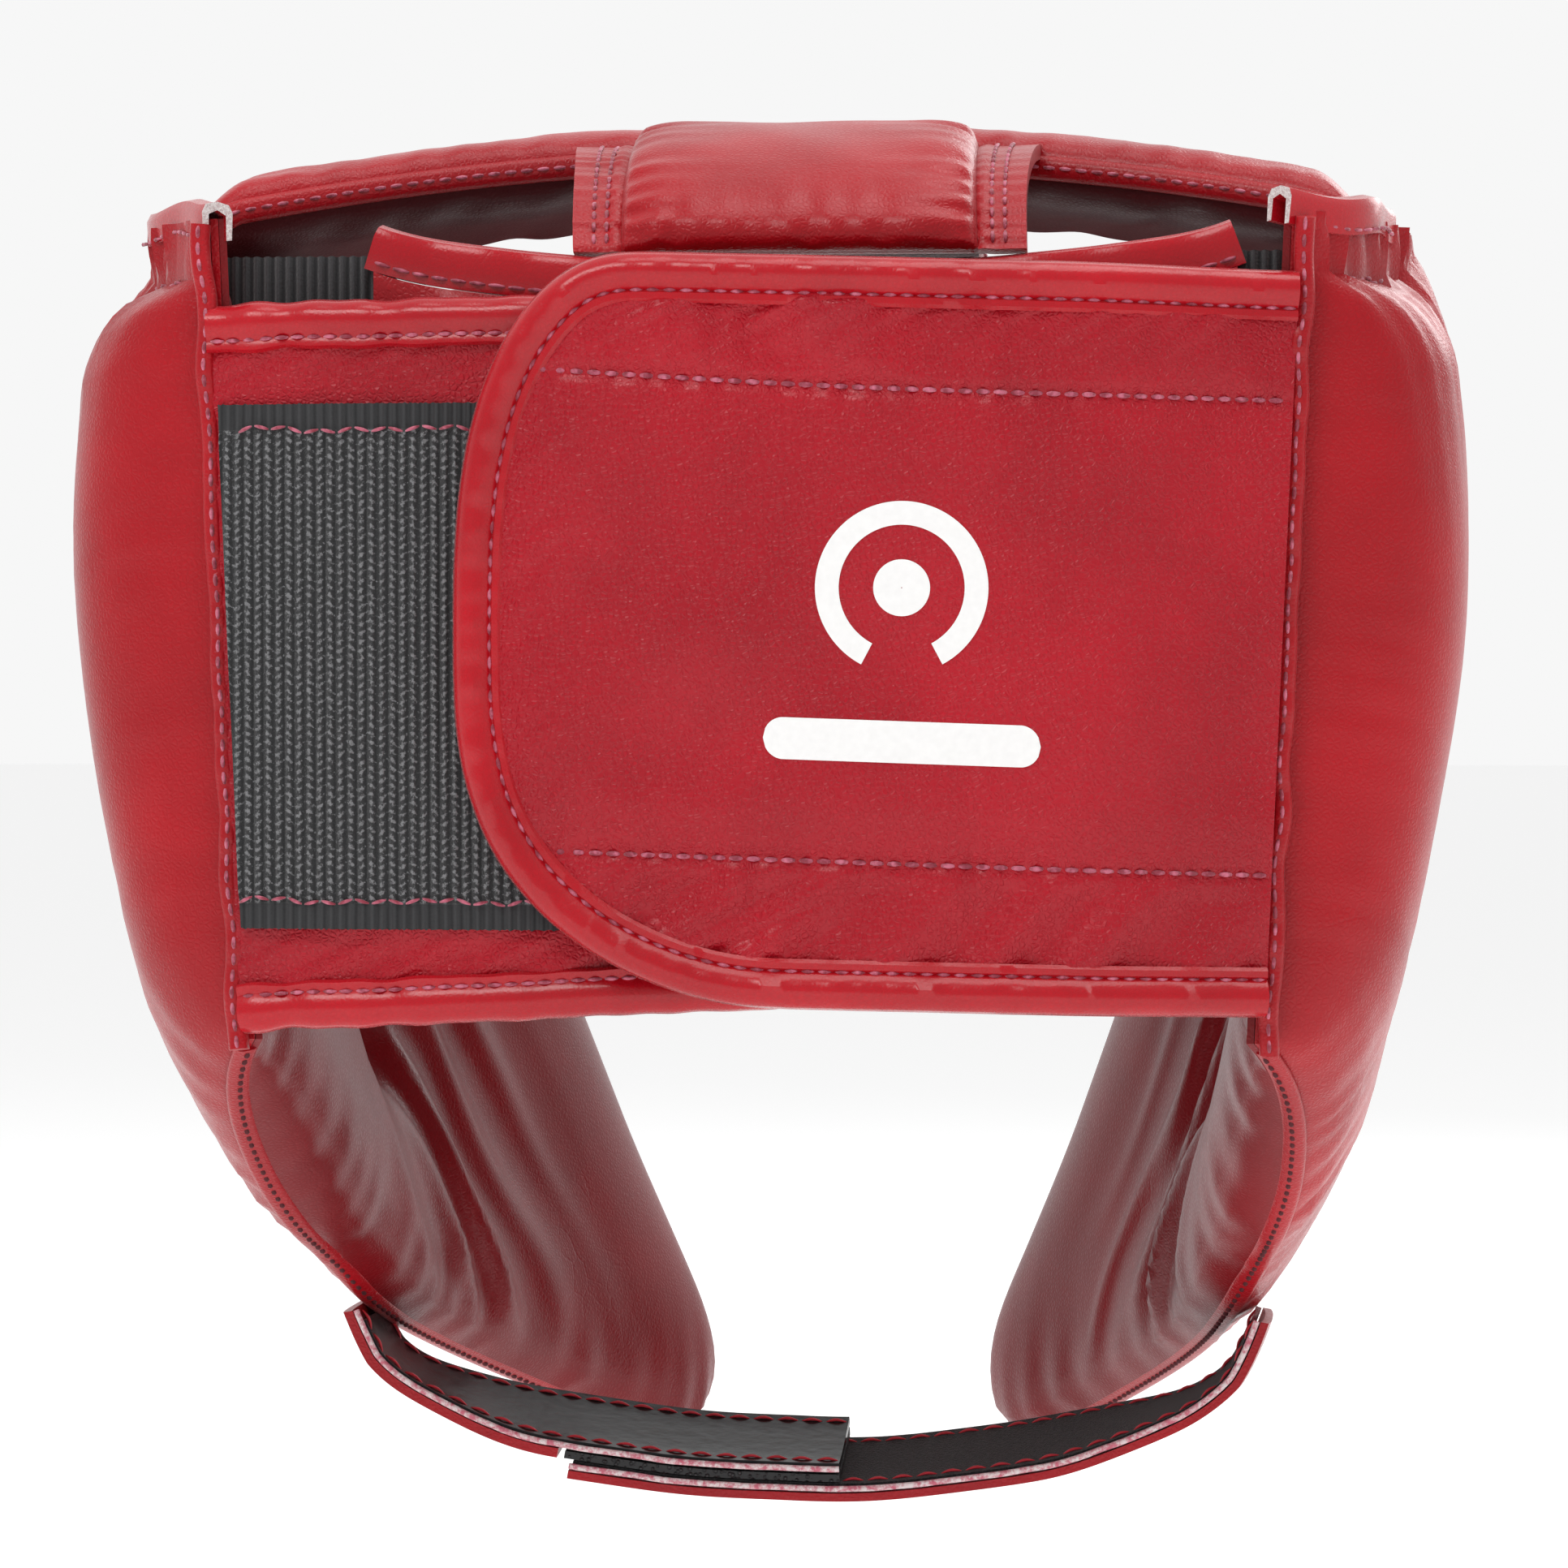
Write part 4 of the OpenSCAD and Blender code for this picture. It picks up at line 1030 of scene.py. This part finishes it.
def paint_loop(place):
    x, z = place.axis("X"), place.axis("Z")
    row = (x * (2 * math.pi / (LOOP_ROW * MM))).sine() * 0.5 + 0.5
    fine = (x * (2 * math.pi / 0.0007)).sine() * 0.5 + 0.5
    stagger = (x * (math.pi / (LOOP_ROW * MM))).sine() * 0.0004
    beat = ((z + stagger) * (2 * math.pi / 0.0013)).sine() * 0.5 + 0.5
    tuft = place.noise(2600.0, 3.0, 0.75)
    # Pale specks on the loop tops are painted highlight glints.
    glint_speck = (row * 0.2 + beat * 0.2 + tuft * 0.9).step(0.68, 0.84)
    from_mid = z - LOOP_MID * MM
    selvedge = 1.0 - from_mid.math("ABSOLUTE", from_mid).step(0.0354, 0.0358)
    loops = row * 0.6 + tuft * 0.8
    dull = (row * 0.5 + tuft * 0.5).tint(rgb(0.008, 0.008, 0.009), rgb(0.05, 0.05, 0.052))
    glint_flecked = (glint_speck * selvedge * 0.7).tint(dull, rgb(0.34, 0.34, 0.35))
    return {"Base Color": glint_flecked, "Normal": bump(place, loops * selvedge + fine * 0.15, 0.0007)}


loop_finish = finish("loop_tape", paint_loop, Roughness=0.82, Sheen_Weight=0.15, Specular_IOR_Level=0.35)
s, v = grid((0, 1, 260), (0, 1, 90))
z = mix(LOOP_LOW, LOOP_HIGH, v)
x = mix(seam_x(z) - SEAM_INSET, BASE_FREE_X + 2, s)
from_mid = np.abs(z - LOOP_MID)
field = clamp01((LOOP_FIELD - from_mid) / 0.8)
combed = (field * (0.35 + 0.16 * np.sin(2 * math.pi * x / LOOP_ROW))
          + 0.3 * waves(x, 40, 111) * clamp01((from_mid - 34) / 4))
frayed = 0.12 * np.sign(v - 0.5) * (np.abs(v - 0.5) > 0.495) * waves(x, 1.3, 112)
near = BASE_THICK + 0.1
patch = grid_slab("loop_patch.tape", closure_point(x, near, z),
                  closure_point(x, near + TAPE_THICK + combed, z + frayed), loop_finish)
fit(patch, "base", "loop_tape", "loop_patch")
x = np.linspace(seam_x(18) - 1.5, BASE_FREE_X + 3, 200)
for name, height in (("top", LOOP_HIGH - 3.9), ("bottom", LOOP_LOW + 4.2)):
    path = closure_point(x, near + TAPE_THICK + 0.1, height + 0.25 * waves(x, 23, 113))
    row = stitches(f"loop_patch_stitches.{name}", path, BACK, 0.3, 2.6, 0.26, zigzag=0.3)
    fit(row, "base", "loop_tape")


# Flap: the outer half of the closure, sewn into the right rear seam. Leather
# over a lining, with the hook patch beneath between its two stitch lines.
FLAP_REACH = 43.0
FLAP_MID_Z = 22.0
FLAP_DEPTH = 9.8
FLAP_SEAM_TOP, FLAP_SEAM_LOW = 77.0, -33.6
FLAP_TOP_DROP, FLAP_LOW_DROP = 22, 46


def flap_edge(t, inset):
    """A point [x, z] of the free edge of the flap; t runs from -1, low, to 1."""
    turned = 1 - (1 - np.abs(t) ** 3) ** 0.62
    drop = np.where(t > 0, (FLAP_TOP_DROP - inset / 2) * turned, (FLAP_LOW_DROP - inset) * turned)
    tall = np.where(t > 0, 57.8 - inset, 54.0 - inset)
    return FLAP_REACH - inset - drop, FLAP_MID_Z + tall * t


def flap_pz(s, t, inset):
    """A point of the flap's panel; s runs from the seam, 0, to the free edge."""
    x_end, z_end = flap_edge(t, inset)
    half = np.where(t > 0, FLAP_SEAM_TOP - inset - FLAP_MID_Z, FLAP_MID_Z - FLAP_SEAM_LOW - inset)
    z_seam = FLAP_MID_Z + half * t
    x_seam = -0.9 - seam_x(z_seam)
    x = mix(x_seam, x_end, s)
    reach = np.where(t > 0, FLAP_REACH - FLAP_TOP_DROP - inset / 2, FLAP_REACH - FLAP_LOW_DROP)
    return x, mix(z_seam, z_end, clamp01((x - x_seam) / (reach - x_seam)))


def line_top(x):
    return 58 + 4.6 * (x + 78) / 108 - 0.9 * np.sin(math.pi * clamp01((x + 78) / 108))


def line_low(x):
    return -12.7 + 3.7 * (x + 78) / 108


def flap_lift(x):
    return 3.4 + (FLAP_DEPTH - 3.4) * smooth((x + 80) / 32)


def flap_relief(x, z):
    """How far the outer leather stands out between its edges and stitch lines."""
    up, down = z - line_top(x), line_low(x) - z
    stripe_up, stripe_low = clamp01(up / 4), clamp01(down / 4)
    middle = clamp01(-np.maximum(up, down) / 9)
    seams = np.exp(-(up / 1.1) ** 2) + np.exp(-(down / 1.1) ** 2)
    sewn = (0.22 * waves(x, 6.5, 121) * np.exp(-np.abs(up) / 5)
            + 0.25 * waves(x, 6, 122) * np.exp(-np.abs(down) / 6))
    broad = 0.5 * waves(x + 0.3 * z, 52, 123) * waves(z - 0.2 * x, 44, 124)
    top_sag = stripe_up * (0.6 * waves(x - 0.5 * z, 30, 125) + 0.12 * waves(x, 9, 126))
    creased = stripe_low * (0.6 * waves(x + 0.9 * z, 20, 127) + 0.28 * waves(0.8 * x + 1.6 * z, 6.5, 128)
                            * smooth((x + 40) / 50) * smooth((24 - x) / 10) - 0.4)
    return 0.8 * smooth(middle) - 0.75 * seams + sewn + broad + top_sag + creased


t_rows = np.sin(np.radians(np.linspace(-90, 90, 181)))
s, t = np.meshgrid(np.linspace(0, 1, 221), t_rows, indexing="ij")
x, z = flap_pz(s, t, 5.0)
inside = clamp01((1 - s) * 12) * clamp01((1 - np.abs(t)) * 30)
from_edge = np.minimum((1 - s) * 110, (1 - np.abs(t)) * 55)
edge_pucker = 0.3 * waves(52 * t + 90 * s, 5.5, 129) * np.exp(-from_edge / 5)
face = flap_lift(x) + (flap_relief(x, z) + edge_pucker) * inside
under = flap_lift(x) - 1.8 + np.minimum(0.0, flap_relief(x, z)) * inside
panel = grid_slab("flap_panel.sheet", closure_point(x, under, z), closure_point(x, face, z), flap_leather)
fit(panel, "flap", "leather", "flap_panel")
lining_x, lining_z = flap_pz(s[::4, ::3], t[::4, ::3], 5.0)
far = np.minimum(0.0, flap_relief(lining_x, lining_z)) - 1.9
backing = grid_slab("flap_lining.sheet", closure_point(lining_x, flap_lift(lining_x) + far - 1.2, lining_z),
                    closure_point(lining_x, flap_lift(lining_x) + far, lining_z), lining_leather)
fit(backing, "flap", "lining", "flap_lining")

seam_run = np.linspace(0, 1, 60)
edge_x, edge_z = flap_edge(t_rows[::-1], BINDING_W / 2)
first = flap_pz(np.zeros(1), np.ones(1), BINDING_W / 2)
last = flap_pz(np.zeros(1), -np.ones(1), BINDING_W / 2)
line_x, line_z = (
    np.concatenate([mix(a, edge[0], seam_run), edge[1:-1], mix(edge[-1], b, seam_run)])
    for a, edge, b in zip(first, (edge_x, edge_z), last)
)
length = np.concatenate([[0], np.cumsum(np.hypot(np.diff(line_x), np.diff(line_z)))])
even = np.linspace(0, length[-1], 420)
line_x, line_z = np.interp(even, length, line_x), np.interp(even, length, line_z)
soften = np.hanning(25) / np.hanning(25).sum()
line_x[12:-12] = np.convolve(line_x, soften, "valid")
line_z[12:-12] = np.convolve(line_z, soften, "valid")
FLAP_ROLL = [
    (-3.2, -2.6), (-1.0, -3.6), (0.35, -3.75), (0.9, -3.2), (0.85, -2.3), (0.3, -1.95), (1.2, -1.2),
    (2.3, 0.3), (2.1, 1.9), (1.0, 3.2), (-1.0, 3.8), (-2.6, 3.1), (-3.4, 1.4),
]
path = closure_point(line_x, flap_lift(line_x) - 0.2, line_z)
pucker = (1 + 0.07 * waves(even, 7.5, 131) + 0.04 * waves(even, 19, 132))[:, None, None]
profile = np.array(FLAP_ROLL)[None] * np.concatenate([pucker, np.ones_like(pucker)], -1)
tape = sweep("flap_binding.tape", path, BACK, profile, binding_leather)
fit(tape, "flap", "binding", "flap_binding")
inwards = np.cross(BACK, along(path))
fit(stitches("flap_binding_stitches", path + inwards * 1.95, BACK, 0.42, 2.5), "flap", "binding")
for name, height in (("top", line_top), ("low", line_low)):
    x = np.linspace(-80.2 if name == "top" else -77.8, 33.5, 200)
    row = closure_point(x, flap_lift(x) + flap_relief(x, height(x)), height(x))
    fit(stitches(f"flap_stitches.{name}", row, BACK, 0.15, 2.6, 0.36), "flap", "leather")


# Hook patch: stiff black tape on the inside of the flap, sewn along its top
# and bottom edges by the two stitch lines that show on the face.
def paint_hook(place):
    hooks = place.cells(1100.0, "F1").step(0.1, 0.5)
    return {"Base Color": hooks.tint(rgb(0.05, 0.05, 0.052), rgb(0.012, 0.012, 0.013)),
            "Normal": bump(place, 1.0 - hooks, 0.0006)}


hook_finish = finish("hook_tape", paint_hook, Roughness=0.5, Specular_IOR_Level=0.5)
s, v = grid((0, 1, 40), (0, 1, 50))
z = mix(-11.0, 61.0, v)
tip = 31 - 3 * clamp01((np.abs(z - 25) - 22) / 14)
x = mix(-14.0, tip, s)
patch = grid_slab("hook_patch.tape", closure_point(x, 4.9, z), closure_point(x, 6.4, z), hook_finish)
fit(patch, "flap", "hook_tape", "hook_patch")


# Printed mark: an open ring round a dot, over a bar, in white ink on the flap.
# It is a thin film that follows the leather.
MARK_X, MARK_Z, BAR_Z = -24, 30, 7.2
DOT_RADIUS, BAR_HALF = 4.2, 20.5


def paint_print(place):
    return {"Base Color": place.noise(900.0).tint(rgb(0.86, 0.85, 0.84), rgb(0.95, 0.94, 0.93))}


print_finish = finish("print", paint_print, Roughness=0.45)


def printed(name, x, z):
    low = flap_lift(x) + flap_relief(x, z)
    film = grid_slab(name, closure_point(x, low - 0.3, z), closure_point(x, low + 0.14, z), print_finish)
    fit(film, "flap", "leather")


turn, w = np.meshgrid(np.radians(np.linspace(-62, 242, 120)), np.linspace(0, 1, 7), indexing="ij")
radius = mix(9.3, 12.8, w)
printed("mark_ring", MARK_X + radius * np.cos(turn), MARK_Z + radius * np.sin(turn))
turn, w = np.meshgrid(np.radians(np.linspace(0, 360, 61)), np.linspace(0.02, 1, 9), indexing="ij")
printed("mark_dot", MARK_X + DOT_RADIUS * w * np.cos(turn), MARK_Z + DOT_RADIUS * w * np.sin(turn))
s, w = grid((-1, 1, 121), (-1, 1, 9))
bar_end = np.sqrt(np.maximum(0.0, 1 - clamp01((np.abs(s) * BAR_HALF - BAR_HALF + 3) / 3.0) ** 2))
half_height = 3.1 * w * np.maximum(0.02, bar_end)
printed("mark_bar", MARK_X + BAR_HALF * s, BAR_Z + half_height + 0.035 * BAR_HALF * s)


# Chin strap: two halves that overlap under the chin, each sewn into the seam
# at a jaw corner. The right half is leather faced with black loop tape; the
# left is glossy black webbing, leather-backed at the jaw, hooks near its tip.
STRAP_W = 25.0
STRAP_Y = -5.0
STRAP_HALF_L = 72.0
STRAP_END_Z = -92.0
STRAP_DIP = 19.5
STRAP_POWER = 1.85
STRAP_TILT = math.radians(12)
SEWN_END, RIGHT_TIP, LEFT_TIP = 88.0, 32.0, -7.0


def strap_line(turn):
    a = np.radians(turn)
    x = STRAP_HALF_L * np.sign(np.sin(a)) * np.abs(np.sin(a)) ** (2 / STRAP_POWER)
    return x, STRAP_END_Z - STRAP_DIP * np.maximum(0.0, np.cos(a)) ** (2 / STRAP_POWER)


def strap_point(turn, s, off):
    """A point of the strap: s from -1/2 at its front edge to 1/2 at its rear."""
    turn, s, off = np.broadcast_arrays(np.asarray(turn, float), s, off)
    (x0, z0), (x1, z1) = strap_line(turn - 0.5), strap_line(turn + 0.5)
    size = np.hypot(x1 - x0, z1 - z0)
    nx, nz = -(z1 - z0) / size, (x1 - x0) / size
    x, z = strap_line(turn)
    sewn = np.maximum(0.0, (np.abs(turn) - 78) / 10)
    x, z = x + np.sign(turn) * 2.6 * sewn ** 1.5, z + 6.0 * sewn ** 1.5
    lean = STRAP_W * math.sin(STRAP_TILT) * smooth((74 - np.abs(x)) / 35)
    sway = 0.5 * np.sin(turn / 9.0) + 0.35 * np.sin(turn / 4.1 + 1)
    x, z = x + off * nx - s * lean * nx, z + off * nz - s * lean * nz
    return np.stack([x, STRAP_Y + s * STRAP_W * math.cos(STRAP_TILT), z + 0.3 * sway], -1)


def ribbon(name, ends, low, high, skin, wide=1.0):
    """A layer of the strap between two turns, its edges curled up a little."""
    turn, s = np.meshgrid(np.linspace(*ends, 160), np.linspace(-0.5, 0.5, 15) * wide, indexing="ij")
    cup = 0.5 * (2 * np.abs(s)) ** 3
    return grid_slab(name, strap_point(turn, s, low + cup), strap_point(turn, s, high + cup), skin)


def paint_strap_loop(place):
    fuzz = place.noise(2200.0, 3.0, 0.7)
    return {"Base Color": fuzz.step(0.35, 0.75).tint(rgb(0.006, 0.006, 0.007), rgb(0.05, 0.048, 0.05)),
            "Normal": bump(place, fuzz, 0.0005)}


def paint_webbing(place):
    worn = place.noise(400.0, 3.0)
    return {"Base Color": worn.tint(rgb(0.006, 0.006, 0.007), rgb(0.022, 0.021, 0.022)),
            "Roughness": 0.16 + worn * 0.15, "Normal": bump(place, worn, 0.0001)}


def paint_cut_edge(place):
    fuzz = place.noise(900.0, 3.0, 0.7)
    return {"Base Color": fuzz.step(0.35, 0.65).tint(rgb(0.62, 0.16, 0.22), rgb(0.85, 0.74, 0.74)),
            "Normal": bump(place, fuzz, 0.0003)}


def paint_red_thread(place):
    return {"Base Color": place.noise(900.0).tint(rgb(0.5, 0.008, 0.02), rgb(0.72, 0.03, 0.05))}


strap_loop = finish("strap_loop", paint_strap_loop, Roughness=0.9, Sheen_Weight=0.2,
                    Specular_IOR_Level=0.25)
webbing = finish("webbing", paint_webbing, Specular_IOR_Level=0.1)
cut_edge = finish("cut_edge", paint_cut_edge, Roughness=0.8, Specular_IOR_Level=0.3)
red_thread = finish("red_thread", paint_red_thread, Roughness=0.5)


def sewn(piece, body, slot, *nodes):
    """Bakes a strap piece's place into its mesh and hides the CAD nodes it stands for."""
    if nodes:
        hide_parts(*nodes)
    way = -1 if body == "strap_right" else 1
    held, free = (way * 0.0735, STRAP_Y * MM, -0.0865), (way * 0.0700, STRAP_Y * MM, -0.0975)
    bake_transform(piece)


right_top, left_base = -0.15, 0.15
right_mid, left_mid = right_top - TAPE_THICK + 0.1, left_base + 1.8
outside = ribbon("strap_right.leather", (-SEWN_END, RIGHT_TIP), right_mid - 1.3, right_mid, cover_leather)
sewn(outside, "strap_right", "leather", "strap_right_leather")
facing = ribbon("strap_right.loop", (-SEWN_END + 2, RIGHT_TIP - 0.4), right_mid + 0.05, right_top,
                strap_loop, wide=0.93)
sewn(facing, "strap_right", "loop_tape", "strap_right_loop")
hooks = ribbon("strap_left.hook", (LEFT_TIP, 33.0), left_base, left_base + 1.2, hook_finish, wide=0.96)
fit(hooks, "strap_left", "hook_tape", "strap_left_hook")
backing = ribbon("strap_left.leather", (34.0, SEWN_END), left_base, left_base + 1.5, cover_leather)
sewn(backing, "strap_left", "leather", "strap_left_leather")
band = ribbon("strap_left.webbing", (LEFT_TIP, SEWN_END - 2), left_mid, left_mid + 1.2, webbing, wide=0.95)
sewn(band, "strap_left", "webbing", "strap_left_webbing")
for body, ends, low, high in (("strap_right", (-SEWN_END, RIGHT_TIP), right_mid, right_top),
                              ("strap_left", (LEFT_TIP, SEWN_END), left_base + 1.3, left_mid + 1.2)):
    turn = np.linspace(*ends, 220)
    for edge, s in (("front", -0.49), ("rear", 0.49)):
        lip = strap_point(turn, s + 0.004 * waves(turn, 11, 141), (low + high) / 2 + 0.45)
        way = strap_point(turn, s, 5.0) - strap_point(turn, s, 4.0)
        sewn(sweep(f"{body}_lip.{edge}", lip, way, oval(1.0, 0.75, 2.2, 10), cut_edge), body, "leather")
        row = strap_point(turn, s * 0.8, high + 0.3)
        sewn(stitches(f"{body}_stitches.{edge}", row, way, 0.1, 4.0, 0.26, red_thread), body, "loop_tape")
